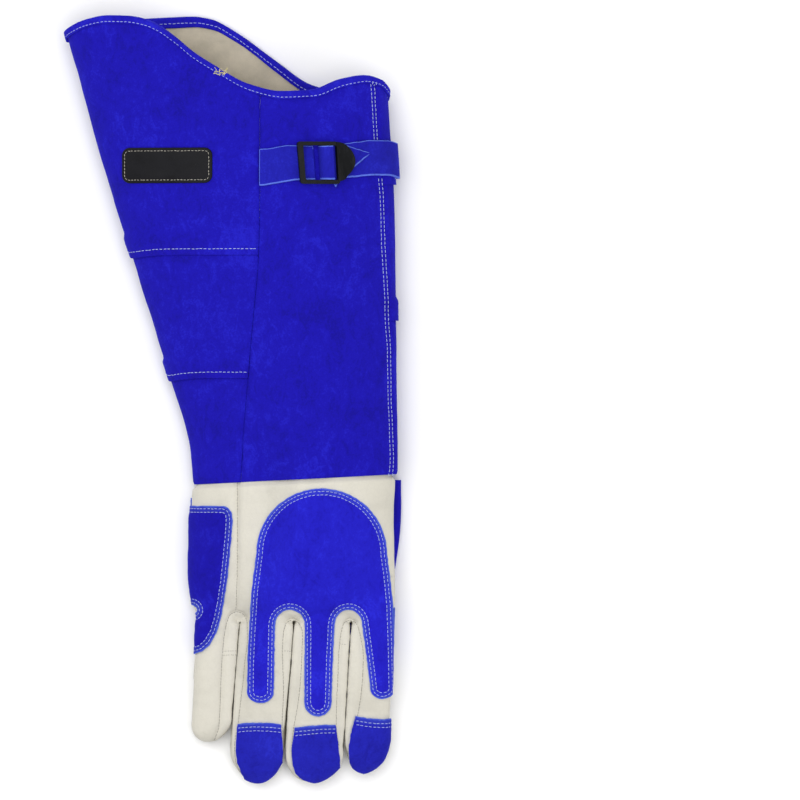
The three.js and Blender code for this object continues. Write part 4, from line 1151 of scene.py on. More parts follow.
class GLOVE_OT_hanging_loop(bpy.types.Operator):
    """Bend the leather strip that the glove is hung up by"""

    bl_idname = "glove.hanging_loop"
    bl_label = "Hanging loop"

    def execute(self, context):
        middle_x, half, length, width, rise = 99.0, 11.0, 26.0, 10.0, 12.0
        turn = 1 - turn_on_back(middle_x, RIM_LEVEL)
        root = float(rim_y(turn)) - 12
        angle = np.linspace(-0.5, 0.5, 64) * 1.52 * math.pi
        x = middle_x + np.sin(angle) * half
        out = length * (1 + np.cos(angle)) / 2
        floor = sleeve_raw(1 - turn_on_back(x, root), root, BINDING_INNER - 1)[:, 2]
        up = np.array([0, 0.04, 0.12, 0.35, 0.65, 0.88, 0.96, 1])[:, None]
        z = floor + rise * out / length
        lean = 1.2 * np.sin(angle * 2)[None, :] * (up - 0.5)
        points = np.stack([x[None, :] + lean, root + out[None, :] + 0 * up, z[None, :] + up * width], axis=-1)
        piece = grid_piece("hanging_loop_leather", points)
        thicken(piece, 1.8, 0.0, 1)
        ease_edges(piece, 0.5, 60, 2, 1)
        face_out(piece)
        finish_piece(piece, finish("blue_strap"), ["hanging_loop"], 60, finish("cut_edge"))
        return {"FINISHED"}


# The hand's skin: one closed body of the palm and fingers, softened, then cut along its seams

HAND_Y = [-173, -167, -158, -142, -120, -90, -62]
HAND_LEFT = [-20, -28, -31.4, -32.2, -32.6, -32.0, -30.8]
HAND_RIGHT = [118, 125, 126.8, 126.8, 126.2, 126.0, 127.0]
HAND_ARCH = [6, 13, 18, 23, 27, 29, 30]
HAND_DROP = [0.4, 0.85, 1, 1, 1, 1, 1]
KNUCKLE_Y = -138.0
FINGERS = [
    {"name": "little", "x": -9.6, "tip_x": -18.9, "half": 16.6, "tip_half": 15.4, "tip_y": -267.2,
     "tip_round": 14, "tip_lean": 0.0},
    {"name": "ring", "x": 29.6, "tip_x": 17.6, "half": 19.9, "tip_half": 20.2, "tip_y": -298.2,
     "tip_round": 30, "tip_lean": 2.0},
    {"name": "middle", "x": 73.1, "tip_x": 61.8, "half": 21.5, "tip_half": 21.8, "tip_y": -298,
     "tip_round": 22, "tip_lean": -2.6},
    {"name": "index", "x": 111.3, "tip_x": 104.6, "half": 16.7, "tip_half": 17.0, "tip_y": -290.4,
     "tip_round": 26, "tip_lean": -4.0},
]
NARROW = 1.2
WRAP_SEAM_X = 4.0


def finger_part(finger, y):
    return (KNUCKLE_Y - y) / (KNUCKLE_Y - finger["tip_y"])


def finger_middle(finger, y):
    return finger["x"] + (finger["tip_x"] - finger["x"]) * finger_part(finger, y)


def finger_half(finger, y):
    return finger["half"] + (finger["tip_half"] - finger["half"]) * smooth(finger_part(finger, y))


def gap_x(left, right, y):
    """The middle of the gap between two neighbouring fingers."""
    edge_of_left = finger_middle(left, y) + finger_half(left, y)
    edge_of_right = finger_middle(right, y) - finger_half(right, y)
    return 0.5 * (edge_of_left + edge_of_right)


def tube_piece(name, rings):
    """A closed body from rings of points, with a point at the middle of each end."""
    ends = [np.repeat(rings[i].mean(axis=0)[None], rings.shape[1], axis=0) for i in (0, -1)]
    rows = np.concatenate([ends[0][None], rings, ends[1][None]])
    piece = grid_piece(name, np.concatenate([rows, rows[:, :1]], axis=1), True)
    face_out(piece)
    return piece


def hand_body():
    y = np.concatenate([[-44.0], np.arange(-62, -173, -4.0), [-173.0]])[:, None]
    angle = np.linspace(0, 2 * math.pi, 96, endpoint=False)[None, :]
    left, right = curve(HAND_Y, HAND_LEFT, y), curve(HAND_Y, HAND_RIGHT, y)
    x = (left + right) / 2 + (right - left) / 2 * np.cos(angle)
    lean = np.abs(np.sin(angle))
    fold = fold_height(x, y + 0 * x)
    back = fold + curve(HAND_Y, HAND_ARCH, y) * lean ** BACK_ROUND
    depth = curve(LIE_Y, LIE_DEPTH, y) * curve(HAND_Y, HAND_DROP, y)
    z = np.where(np.sin(angle) >= 0, back, fold - depth * lean ** 0.5)
    return tube_piece("hand_body", np.stack([x, y + 0 * x, z], axis=-1))


def finger_body(finger):
    tip_y = finger["tip_y"]
    tip_round = finger["tip_round"]
    straight = np.arange(KNUCKLE_Y, tip_y + tip_round, -3.0)
    turn = np.radians(np.array([5, 12, 20, 28, 36, 44, 52, 60, 67, 74, 80, 85, 88.5]))
    y = np.concatenate([straight, tip_y + tip_round * (1 - np.sin(turn))])[:, None]
    scale = np.concatenate([np.ones(len(straight)), np.cos(turn) ** 0.92])[:, None]
    angle = np.linspace(0, 2 * math.pi, 56, endpoint=False)[None, :]
    part = finger_part(finger, y)
    lean_in = finger["tip_lean"] * (1 - scale)
    x = finger_middle(finger, y) + lean_in + (finger_half(finger, y) - NARROW) * scale * np.cos(angle)
    lean = np.abs(np.sin(angle))
    arch = (14 + (10 - 14) * part) * scale ** 0.8
    depth = curve(LIE_Y, LIE_DEPTH, y) * (1 + (scale - 1) * 0.8)
    rise = np.where(np.sin(angle) >= 0, arch * lean ** 0.52, -depth * lean ** 0.6)
    z = fold_height(x, y + 0 * x) + rise
    return tube_piece("finger_" + finger["name"], np.stack([x, y + 0 * x, z], axis=-1))


def distance_to(line, points):
    """Distance seen from above from each point to a line of (x, y) corners."""
    line = np.asarray(line, float)
    best = np.full(len(points), 1e9)
    for a, b in zip(line[:-1], line[1:]):
        along = b - a
        size = max(float(along @ along), 1e-9)
        t = np.clip(((points[:, :2] - a) @ along) / size, 0, 1)
        best = np.minimum(best, np.linalg.norm(points[:, :2] - (a + t[:, None] * along), axis=1))
    return best


BACK_SEAMS = [
    [(3.9, -54.8), (3.9, -125.3), (2.7, -165.2)],
    [(2.7, -165.2), (-1.6, -167.6), (-4.7, -174.6), (-7, -188.7), (-8.6, -208.3), (-9.4, -228.6),
     (-10.6, -253.7), (-14.9, -267.8)],
    [(2.7, -165.2), (7.8, -166.8), (11.4, -173.8), (11.7, -187.9), (9.8, -203.6), (8.5, -218.5),
     (6.7, -233.3), (4.7, -250.6), (1.6, -270.1), (2.3, -281.9), (7.8, -293.6), (14.9, -302.2)],
    [(46.2, -171.5), (42.3, -173.8), (39.9, -181.7), (39.1, -195.8), (39.5, -211.4), (39.9, -227.1),
     (38.8, -252.1), (39.5, -267.8), (41.5, -281.9)],
    [(46.2, -171.5), (51.7, -173.8), (54.8, -181.7), (54.4, -195.8), (53.2, -219.2), (50.9, -238.8),
     (47.8, -256.8), (46.2, -274.1), (49.3, -287.4), (54, -299.9)],
    [(91.6, -171.5), (87.3, -173.8), (84.6, -183.2), (83, -198.9), (82.2, -219.2), (81.4, -234.9),
     (81, -253.7), (83, -270.1)],
    [(91.6, -171.5), (96.3, -173.8), (100.2, -184.8), (102.2, -199.7), (101.4, -219.2), (99.8, -234.9),
     (97.1, -249), (92, -267.8), (89.3, -283.4), (93.2, -292.8)],
]
PALM_SEAMS = [
    [(-3, -168), (0, -180), (-3, -205), (-8, -235), (-13, -262)],
    [(8, -186), (9, -215), (7, -250), (9, -272), (15, -281), (24, -281), (31, -272), (34, -250),
     (39, -215), (41, -199)],
    [(8, -186), (22, -188), (41, -199)],
    [(53, -201), (52, -225), (49, -255), (51, -275), (58, -284), (67, -284), (75, -275), (78, -252),
     (82, -225), (85, -206)],
    [(53, -201), (70, -203), (85, -206)],
    [(95, -196), (94, -225), (91, -255), (93, -275)],
]

SKIN = {}


def close_gaps(points):
    """Widens each finger until it touches the next, from just past the crotch to the tips."""
    y = points[:, 1]
    borders = [gap_x(a, b, y) for a, b in zip(FINGERS[:-1], FINGERS[1:])]
    owner = sum((points[:, 0] > border).astype(int) for border in borders)
    before = points[:, 0].copy()
    for index, finger in enumerate(FINGERS):
        middle = finger_middle(finger, y)
        levels = np.arange(-182.0, finger["tip_y"] + finger["tip_round"] + 4, -3.0)
        for side, border in ((-1, borders[index - 1] if index else None),
                             (1, borders[index] if index < len(borders) else None)):
            if border is None:
                continue
            mine = (owner == index) & ((before - middle) * side > 0) & (y < -170)
            reach = []
            for level in levels:
                near = mine & (np.abs(y - level) < 2.0)
                wanted = np.mean(np.abs(border[near] - middle[near])) - 0.1
                reach.append(wanted / np.max(np.abs(before[near] - middle[near])))
            grow = np.interp(-y[mine], -levels, reach) - 1
            ramp = smooth((-172.0 - y[mine]) / 4.0) * smooth((y[mine] - finger["tip_y"]) / 19.0)
            points[mine, 0] = middle[mine] + (before[mine] - middle[mine]) * (1 + grow * ramp)


# The share of the valleys between the fingers that is filled
VALLEY_FILL = 0.62


def fill_valleys(points):
    """Raises the upper flanks between neighbouring fingers, as the empty glove's fingers lie flat."""
    x, y = points[:, 0], points[:, 1]
    fold = fold_height(x, y)
    borders = [gap_x(a, b, y) for a, b in zip(FINGERS[:-1], FINGERS[1:])]
    owner = sum((x > border).astype(int) for border in borders)
    for index, finger in enumerate(FINGERS):
        middle, half = finger_middle(finger, y), finger_half(finger, y)
        reach = (x - middle) / half
        if index == 0:
            reach = np.maximum(reach, 0)
        if index == len(FINGERS) - 1:
            reach = np.minimum(reach, 0)
        end = smooth((y - finger["tip_y"] - 4) / 14)
        ramp = smooth((-168.0 - y) / 10.0) * end
        mine = (owner == index) & (points[:, 2] > fold - 0.5)
        top = fold + 14 - 4 * finger_part(finger, y)
        weight = VALLEY_FILL * smooth((np.abs(reach) - 0.35) / 0.6) * ramp
        points[:, 2] = np.where(mine, points[:, 2] + weight * np.maximum(top - points[:, 2], 0), points[:, 2])


def hand_skin():
    """The finished hand's body, its points and its outward directions, worked out once."""
    if SKIN:
        return SKIN
    body = hand_body()
    parts = [finger_body(finger) for finger in FINGERS]
    deselect_all()
    for part in parts:
        part.select_set(True)
    body.select_set(True)
    bpy.context.view_layer.objects.active = body
    bpy.ops.object.join()
    apply(body, "REMESH", mode="VOXEL", voxel_size=1.15 * MM, use_smooth_shade=True)
    apply(body, "SMOOTH", factor=0.5, iterations=7)
    points = points_of(body)
    y = points[:, 1]
    normals = normals_of(body)
    on_top = points[:, 2] > fold_height(points[:, 0], points[:, 1]) - 0.5
    near_back = np.min([distance_to(line, points) for line in BACK_SEAMS], axis=0)
    near_palm = np.min([distance_to(line, points) for line in PALM_SEAMS], axis=0)
    near = np.where(on_top, near_back, near_palm)
    away = smooth(near / 6.0)
    lumps = 0.75 * noise(points * np.array([1, 0.8, 1]), 34, 21) + 0.42 * noise(points, 14, 22)
    fingers_only = smooth((-168 - y) / 20)
    across = noise(points * np.array([0.35, 1.6, 0.35]), 8, 23)
    lumps += 0.34 * across * (0.35 + 0.65 * fingers_only) + 0.13 * noise(points, 4.5, 24)
    swell = 0.5 * away - 0.25
    groove = 0.95 * bell(near, 1.15) + 0.35 * bell(near, 3.2)
    puckers = 0.2 * noise(points, 3.2, 25) * np.exp(-near / 4.0)
    down = np.where(on_top, 1.0, 0.45)
    tucked = 2.7 * smooth((y - wrist_y(points[:, 0]) + 4.5) / 4.5)
    points = points + normals * ((lumps * away * down + swell - groove + puckers - tucked)[:, None])
    close_gaps(points)
    fill_valleys(points)
    points[:, 2] = np.maximum(points[:, 2], 0.12)
    set_points(body.data, points)
    SKIN["body"] = body
    SKIN["points"] = points
    SKIN["normals"] = normals_of(body)
    return SKIN


def skin_shell(name, outer, inner):
    """A hollow body from the hand's skin, between two heights above it."""
    skin = hand_skin()
    pieces = []
    for proud in (outer, inner):
        deselect_all()
        skin["body"].select_set(True)
        bpy.context.view_layer.objects.active = skin["body"]
        bpy.ops.object.duplicate()
        piece = bpy.context.object
        points = skin["points"] + skin["normals"] * np.reshape(proud, (-1, 1))
        points[:, 2] = np.maximum(points[:, 2], 0.05)
        set_points(piece.data, points)
        pieces.append(piece)
    flip(pieces[1])
    deselect_all()
    pieces[1].select_set(True)
    pieces[0].select_set(True)
    bpy.context.view_layer.objects.active = pieces[0]
    bpy.ops.object.join()
    pieces[0].name = pieces[0].data.name = name
    return pieces[0]


def copy_of(piece, name):
    pick(piece)
    bpy.ops.object.duplicate()
    made = bpy.context.object
    made.name = made.data.name = name
    return made


def below_fold():
    """Everything under the line that divides back from palm."""
    columns, rows = 44, 56
    x = np.linspace(-60, 160, columns)[None, :] + np.zeros((rows, 1))
    y = np.linspace(-20, -330, rows)[:, None] + np.zeros((1, columns))
    top = np.stack([x, y, fold_height(x, y)], axis=-1)
    piece = grid_piece("below_fold", top)
    stay = {"value": (0, 0, 0)}
    in_edit_mode(piece, lambda: bpy.ops.mesh.extrude_region_move(TRANSFORM_OT_translate=stay))
    points = points_of(piece)
    points[rows * columns:, 2] = -40
    set_points(piece.data, points)
    face_out(piece)
    return piece


def gusset_outline(left_seam, right_seam):
    """The strip between two neighbouring fingers, from the seams beside the crotch to their tips."""
    return [tuple(p) for p in left_seam] + [tuple(p) for p in reversed(right_seam[1:])]


class GLOVE_OT_hand(bpy.types.Operator):
    """Cut the hand's cream leather along its seams: back, palm, finger fronts and the strips between"""

    bl_idname = "glove.hand"
    bl_label = "Hand leather"

    def execute(self, context):
        cream = finish("cream_leather")
        shell = skin_shell("hand_shell", 0.0, -GRAIN)
        wrist = prism("wrist", [(-90, 60), (190, 60), (190, -57), (-90, -57)], -50, 120)
        combine(shell, wrist, "DIFFERENCE")
        fold = below_fold()
        wrap = prism("wrap", [(WRAP_SEAM_X, 0), (-90, 0), (-90, -330), (WRAP_SEAM_X, -330)], -60, 140)
        gussets = [
            ("little", BACK_SEAMS[1], BACK_SEAMS[2]),
            ("ring", BACK_SEAMS[3], BACK_SEAMS[4]),
            ("middle", BACK_SEAMS[5], BACK_SEAMS[6]),
        ]
        fronts = [
            ("ring", [(5, -186), (42, -199), (45, -245), (44, -330), (-2, -330), (-1, -245)]),
            ("middle", [(47, -200), (88, -206), (90, -245), (88, -330), (45, -330), (45.5, -245)]),
        ]
        rest = shell
        for name, left_seam, right_seam in gussets:
            cutter = prism("cutter", gusset_outline(left_seam, right_seam), -50, 120)
            piece = combine(copy_of(rest, f"finger_gusset_{name}_leather"), cutter, "INTERSECT", keep=True)
            combine(rest, cutter, "DIFFERENCE")
            finish_piece(piece, cream, [f"finger_gusset_{name}"], 55)
        for name, outline in fronts:
            cutter = prism("cutter", outline, -50, 120)
            combine(cutter, fold, "INTERSECT", keep=True)
            piece = combine(copy_of(rest, f"finger_front_{name}_leather"), cutter, "INTERSECT", keep=True)
            combine(rest, cutter, "DIFFERENCE")
            finish_piece(piece, cream, [f"finger_front_{name}"], 55)
        palm_side = combine(copy_of(fold, "palm_side"), wrap, "UNION")
        palm = combine(copy_of(rest, "hand_palm_leather"), palm_side, "INTERSECT", keep=True)
        back = combine(rest, palm_side, "DIFFERENCE")
        back.name = back.data.name = "hand_back_leather"
        palm_nodes = ["hand_palm", "finger_front_little", "finger_front_index"]
        finish_piece(palm, cream, palm_nodes, 55)
        finish_piece(
            back, cream,
            ["hand_back", "finger_back_ring", "finger_back_middle", "finger_back_index"], 55)
        bpy.data.objects.remove(fold)
        return {"FINISHED"}


# Patches sewn onto the hand


def arc(x, y, rx, ry, start, end, steps=10):
    turn = np.radians(np.linspace(start, end, steps + 1))
    return [(x + rx * math.cos(a), y + ry * math.sin(a)) for a in turn]


BACK_PATCH = [
    *arc(69.7, -119.8, 51, 51, 0, 180, 32), (14.9, -148.8), (12.8, -180), (11.7, -204.4), (11.4, -228),
    *arc(21.9, -228, 10.5, 8.5, 180, 360, 12), (33.0, -205), (33.4, -175),
    *arc(45, -175, 11.4, 11.4, 180, 0, 12), (56.2, -234),
    *arc(66.8, -236, 10.6, 11, 180, 360, 12), (78.6, -200), (79.9, -175),
    *arc(90.6, -175, 10.6, 11.4, 180, 0, 12), (104.5, -199), (107.5, -224),
    *arc(117.3, -225, 9.8, 8.3, 180, 360, 12), (126.4, -190), (125.4, -160), (123, -136),
]
CAPS = [
    ("ring", [(3.8, -253), (2.7, -263), (2.2, -274), (3.6, -283.5), (5.5, -288), (6.1, -291), (7.4, -293.5),
              (8.8, -296), (9, -299), (6, -320), (38.4, -320), (38.6, -290), (39.5, -273), (38, -253),
              (30, -252.2), (20, -251.8), (10, -252.2)]),
    ("middle", [(48.5, -255.6), (47, -266), (46, -276), (47, -285.5), (49.4, -292), (51.6, -294.8),
                (55, -297.2), (60, -298.8), (66, -300.4), (70, -320), (84, -320), (84.4, -290),
                (83.6, -277), (80.8, -253.4), (72, -253.4), (60, -254.4)]),
    ("index", [(96.2, -246.8), (92.6, -260), (90.8, -270), (90.8, -280), (92, -285.5), (94.2, -288.6),
               (97.5, -290.8), (102, -292.4), (106, -320), (130, -320), (130, -248), (118, -249.2),
               (106, -248.4)]),
]
SIDE_PATCH_BACK = [
    (-50, -82.7), (-7, -82.7), (-3, -84.2), (-0.6, -87.6), (0.3, -93), (-0.5, -106), (-2.2, -124),
    (-4.2, -142), (-6.6, -158), (-9.2, -171), (-12.6, -182), (-17.5, -190.8), (-23.4, -196),
    (-31, -198.9), (-50, -199.3), (-50, -168.5), (-30.5, -167.6), (-28.4, -166), (-27.6, -164),
    (-28.4, -162), (-30.5, -160.4), (-50, -159.5),
]
SIDE_PATCH_PALM = [
    (-50, -76.5), (10, -76.5), (16, -78.5), (19, -83), (20, -95), (20, -128), (18.4, -136), (13, -144),
    (6, -148.5), (-12, -151.8), (-50, -151.8),
]
SIDE_PATCH_LOW = [
    (-50, -166), (-24, -166), (-19.4, -168.5), (-16.3, -173), (-15.5, -178), (-16.3, -183), (-19.4, -187.6),
    (-24, -190), (-50, -190),
]
PALM_PATCH = [
    (24, -66), (27.7, -90), (29, -120), (30, -138.9), (32, -147), (37, -154), (48, -159), (70, -162),
    (86, -163), (95, -170), (97.5, -186), (99, -196), (104, -201), (122, -201), (127, -196),
    (127, -162), (100, -152), (72, -138), (62, -126), (58, -117.8), (54, -92), (51, -66),
]
SIDE_DIVIDE = 9.0


def ragged(outline, step=1.3, amount=0.28, seed=40):
    """An outline with the small unevenness of a cut leather edge."""
    loop = even_loop(np.asarray(outline, float), step)
    flat = np.column_stack([loop, np.zeros(len(loop))])
    return loop + amount * np.stack([noise(flat, 2.7, seed), noise(flat, 2.7, seed + 1)], axis=-1)


# How far in from their edges the two seams of a patch and of a fingertip cap run
PATCH_ROWS = (2.2, 4.9)
CAP_ROWS = (3.4, 6.4)


def closed(line):
    return list(line) + [line[0]]


def patch_skin(outlines):
    """Heights of a patch over the hand: full inside, eased down at its edges, dented by its two seams."""
    points = hand_skin()["points"]
    near = np.min([distance_to(closed(line), points) for line in outlines], axis=0)
    dents = 0.34 * sum(bell(near - row, 0.8) for row in PATCH_ROWS)
    edge = 0.4 * (1 - smooth(near / 1.6))
    return GAP + PATCH - edge - dents + 0.25 * smooth((near - 5) / 5)


class GLOVE_OT_patches(bpy.types.Operator):
    """Lay the blue patches and fingertip caps on the hand"""

    bl_idname = "glove.patches"
    bl_label = "Patches"

    def execute(self, context):
        fold = below_fold()
        shell = skin_shell("patch_shell", patch_skin([BACK_PATCH]), 0.12)
        cutter = combine(prism("cutter", ragged(BACK_PATCH), -50, 120), fold, "DIFFERENCE", keep=True)
        combine(shell, cutter, "INTERSECT")
        finish_patch(shell, "back_patch", closed(BACK_PATCH))
        for name, outline in CAPS:
            shell = skin_shell("patch_shell", cap_skin(outline), 0.12)
            cutter = combine(prism("cutter", ragged(outline), -50, 120), fold, "DIFFERENCE", keep=True)
            combine(shell, cutter, "INTERSECT")
            finish_patch(shell, f"fingertip_{name}", cap_edge(outline))
        shell = skin_shell("patch_shell", side_heights(), 0.12)
        cutter = prism("cutter", ragged(SIDE_PATCH_BACK), SIDE_DIVIDE, 140)
        combine(cutter, prism("low", ragged(SIDE_PATCH_PALM), -60, SIDE_DIVIDE + 0.01), "UNION")
        combine(cutter, prism("low", ragged(SIDE_PATCH_LOW), -60, SIDE_DIVIDE + 0.01), "UNION")
        combine(shell, cutter, "INTERSECT")
        finish_patch(
            shell, "side_patch", closed(SIDE_PATCH_BACK), [closed(SIDE_PATCH_PALM), closed(SIDE_PATCH_LOW)])
        shell = skin_shell("patch_shell", patch_skin([PALM_PATCH]), 0.12)
        cutter = combine(prism("cutter", ragged(PALM_PATCH), -60, 120), fold, "INTERSECT")
        combine(shell, cutter, "INTERSECT")
        finish_patch(shell, "palm_patch", closed(PALM_PATCH))
        return {"FINISHED"}


def cap_edge(outline):
    """The upper, sewn edge of a fingertip cap."""
    top = max(y for x, y in outline) - 6
    edge = [point for point in outline if point[1] > top]
    return sorted(edge)


def cap_skin(outline):
    """Heights of a fingertip cap over the hand: eased down at its edge, dented by its two seams."""
    points = hand_skin()["points"]
    near = distance_to(cap_edge(outline), points)
    dents = 0.34 * sum(bell(near - row, 0.8) for row in CAP_ROWS)
    return GAP + PATCH - 0.4 * (1 - smooth(near / 1.6)) - dents


def side_heights():
    points = hand_skin()["points"]
    high = patch_skin([SIDE_PATCH_BACK])
    low = patch_skin([SIDE_PATCH_PALM, SIDE_PATCH_LOW])
    return np.where(points[:, 2] > SIDE_DIVIDE, high, low)


PATCHES = {}
# The back and palm patches take the suede painted lighter, as painted light, and the side patch takes it
# painted darker, as painted shade.
PATCH_FINISH = {"back_patch": "blue_patch_painted_lit", "palm_patch": "blue_patch_painted_lit", "side_patch": "blue_side_painted_shade"}


def mark_inside(piece, over, under=()):
    """Keeps at each corner how far inside the patch's cut edge it lies, in millimetres."""
    points = points_of(piece)
    near = distance_to(over, points)
    if under:
        low = np.min([distance_to(line, points) for line in under], axis=0)
        near = np.where(points[:, 2] > SIDE_DIVIDE, near, low)
    inside = piece.data.attributes.new("inside", "FLOAT", "POINT")
    inside.data.foreach_set("value", near.astype(np.float32))


def mark_cut_walls(piece):
    """Gives the walls that were cut across the leather the paler look of its inside."""
    skin = hand_skin()
    tree = BVHTree.FromObject(skin["body"], bpy.context.evaluated_depsgraph_get())
    for face in piece.data.polygons:
        hit = tree.find_nearest(face.center)
        face.material_index = int(abs(hit[1].dot(face.normal)) < 0.55)


def main_body(piece):
    """Keeps only the largest body of a cut piece."""
    in_edit_mode(piece, lambda: bpy.ops.mesh.separate(type="LOOSE"))
    parts = sorted(bpy.context.selected_objects, key=lambda one: len(one.data.vertices))
    for part in parts[:-1]:
        bpy.data.objects.remove(part)
    return parts[-1]


def finish_patch(piece, name, over, under=()):
    piece = main_body(piece)
    mark_inside(piece, over, under)
    piece.name = piece.data.name = name + "_leather"
    material = PATCH_FINISH.get(name, "blue_cap")
    finish_piece(piece, finish(material), [name], 50, finish("cut_edge"))
    mark_cut_walls(piece)
    PATCHES[name] = piece
    return piece


# The folded thumb

THUMB_Y = [-205, -199, -190, -175, -150, -122, -90, -62.6]
THUMB_X = [48, 51, 56.5, 66.5, 82.5, 93.2, 96.6, 97.4]
THUMB_HALF = [8, 15.5, 20, 24.5, 31.5, 35.2, 35.2, 34.4]
THUMB_HEIGHT = [9, 11, 12.5, 13.5, 14.5, 15, 15, 15]


class GLOVE_OT_thumb(bpy.types.Operator):
    """Shape the flattened thumb that is folded under the palm"""

    bl_idname = "glove.thumb"
    bl_label = "Thumb"

    def execute(self, context):
        y = np.concatenate([np.arange(-62.6, -196, -2.2), np.linspace(-196, -205, 6)])
        x, half, height = (curve(THUMB_Y, values, y) for values in (THUMB_X, THUMB_HALF, THUMB_HEIGHT))
        tip = np.radians([25, 45, 62, 76, 85])
        direction = np.array([-0.55, -0.83])
        y = np.concatenate([y, y[-1] + direction[1] * 3.6 * np.sin(tip)])
        x = np.concatenate([x, x[-1] + direction[0] * 3.6 * np.sin(tip)])
        half = np.concatenate([half, half[-1] * np.cos(tip) ** 0.7])
        height = np.concatenate([height, height[-1] * (0.35 + 0.65 * np.cos(tip))])
        along = np.stack([np.gradient(x), np.gradient(y)], axis=-1)
        along[0] = (0, -1)
        along /= np.linalg.norm(along, axis=1, keepdims=True)
        side = np.stack([-along[:, 1], along[:, 0]], axis=-1)
        angle = np.linspace(0, 2 * math.pi, 64, endpoint=False)
        lean = np.abs(np.sin(angle))
        middle = height[:, None] * 0.45
        z = np.where(
            np.sin(angle) >= 0,
            middle + (height[:, None] - middle) * lean ** 0.7,
            middle * (1 - np.minimum(1, lean * 1.45) ** 0.6),
        )
        reach = half[:, None] * np.cos(angle)[None, :]
        points = np.stack([x[:, None] + side[:, :1] * reach, y[:, None] + side[:, 1:] * reach, z], axis=-1)
        inward = np.stack([-np.cos(angle)[None, :] * side[:, :1], -np.cos(angle)[None, :] * side[:, 1:],
                           -np.sin(angle)[None, :] + 0 * side[:, :1]], axis=-1)
        dents = 0.55 * np.abs(noise(points, 24, 51)) + 0.25 * np.abs(noise(points, 9, 52))
        points = points + inward * (dents * (np.sin(angle) > -0.3)[None, :])[..., None]
        last = np.repeat(points[-1].mean(axis=0)[None, None], len(angle), axis=1)
        rows = np.concatenate([points, last])
        piece = grid_piece("thumb_leather", np.concatenate([rows, rows[:, :1]], axis=1), True)
        face_out(piece)
        if normals_of(piece)[np.argmax(points_of(piece)[:, 2])][2] < 0:
            flip(piece)
        thicken(piece, SUEDE)
        finish_piece(piece, finish("blue_suede"), ["thumb"], 60)
        return {"FINISHED"}


# Stitches: short rounded bars of thread, laid along rows on the leather


def stitch_rows(name, rows, material, length, thickness):
    """One piece from many stitches. Each row holds places, directions and the leather's normals."""
    places = np.concatenate([row[0] for row in rows])
    ahead = np.concatenate([row[1] for row in rows])
    up = np.concatenate([row[2] for row in rows])
    up = up - ahead * np.sum(up * ahead, axis=1, keepdims=True)
    up /= np.maximum(np.linalg.norm(up, axis=1, keepdims=True), 1e-9)
    side = np.cross(ahead, up)
    deselect_all()
    bpy.ops.mesh.primitive_uv_sphere_add(segments=6, ring_count=5, radius=1.0)
    bead = bpy.context.object
    corners = points_of(bead) * MM
    faces = [tuple(face.vertices) for face in bead.data.polygons]
    bpy.data.objects.remove(bead)
    bar = np.sign(corners[:, 2]) * np.abs(corners[:, 2]) ** 0.6 * length / 2
    sink = -0.22 * thickness * (2 * bar / length) ** 2
    jitter = np.random.default_rng(17).normal(0, 1, (len(places), 3)) * np.array([0.16, 0.07, 0.05])
    ahead = ahead + side * jitter[:, 1:2]
    places = places + ahead * jitter[:, :1] + side * jitter[:, 2:3]
    vertices = (
        places[:, None] + ahead[:, None] * bar[None, :, None]
        + side[:, None] * (corners[:, 0] * thickness / 2)[None, :, None]
        + up[:, None] * (corners[:, 1] * thickness / 2 + sink + 0.12 * thickness)[None, :, None]
    )
    every = np.array([len(corners) * i for i in range(len(places))])
    all_faces = [tuple(int(v + start) for v in face) for start in every for face in faces]
    mesh = bpy.data.meshes.new(name)
    mesh.from_pydata((vertices.reshape(-1, 3) * MM).tolist(), [], all_faces)
    piece = bpy.data.objects.new(name, mesh)
    bpy.context.scene.collection.objects.link(piece)
    face_out(piece)
    return finish_piece(piece, finish(material), (), 60)


def on_sleeve(turns, ys, proud):
    """A line on the cuff, with the directions that stand off it."""
    turns, ys, proud = np.broadcast_arrays(np.asarray(turns, float), np.asarray(ys, float), proud)
    here = sleeve(turns, ys, proud)
    out = sleeve(turns, ys, np.asarray(proud) + 1.0) - here
    return here, out


def row_up(here, out, pitch):
    """Places, directions and normals along a line that carries its own normals."""
    length = lengths_along(here)
    count = max(1, int(round(length[-1] / pitch)))
    at = (np.arange(count) + 0.5) * length[-1] / count
    ahead = points_at(here, length, at + 0.8) - points_at(here, length, at - 0.8)
    ahead = ahead / np.maximum(np.linalg.norm(ahead, axis=1, keepdims=True), 1e-9)
    return points_at(here, length, at), ahead, points_at(out, length, at)


ABOVE_LAP = 4.7


def lap_row(line, start, end, first=0.003):
    """A row of stitches just above a lapped edge, from one seam to the next."""
    part = np.linspace(first, 0.99, 300)
    y = line(part)
    for _ in range(5):
        turn = start(y) + (end(y) - start(y)) * part
        y = line(part, turn, y)
    y = y + ABOVE_LAP
    turn = start(y) + (end(y) - start(y)) * part
    here = sleeve(turn, y, 0.0)
    length = lengths_along(here)
    ends = smooth(np.minimum(length, length[-1] - length) / SEAM_EASE)
    return on_sleeve(turn, y, LIP * (0.25 + 0.75 * ends) + 0.05)


def settled(here, out, pieces, lift=0.1):
    """A line moved onto the nearest of some pieces, along its own outward directions."""
    trees = [tree_of(piece) for piece in pieces]
    moved = here.copy()
    for index, (point, way) in enumerate(zip(here, out)):
        way = Vector(way / np.linalg.norm(way))
        start = Vector(point * MM) + way * 0.006
        hits = [tree.ray_cast(start, -way, 0.012) for tree in trees]
        hits = [hit for hit in hits if hit[0] is not None]
        if hits:
            nearest = min(hits, key=lambda hit: hit[3])
            moved[index] = np.array(nearest[0]) / MM + np.array(way) * lift
    for _ in range(2):
        moved[1:-1] = (moved[:-2] + 2 * moved[1:-1] + moved[2:]) / 4
    return moved, out


SEAM_ROWS = (1.3, 4.0)


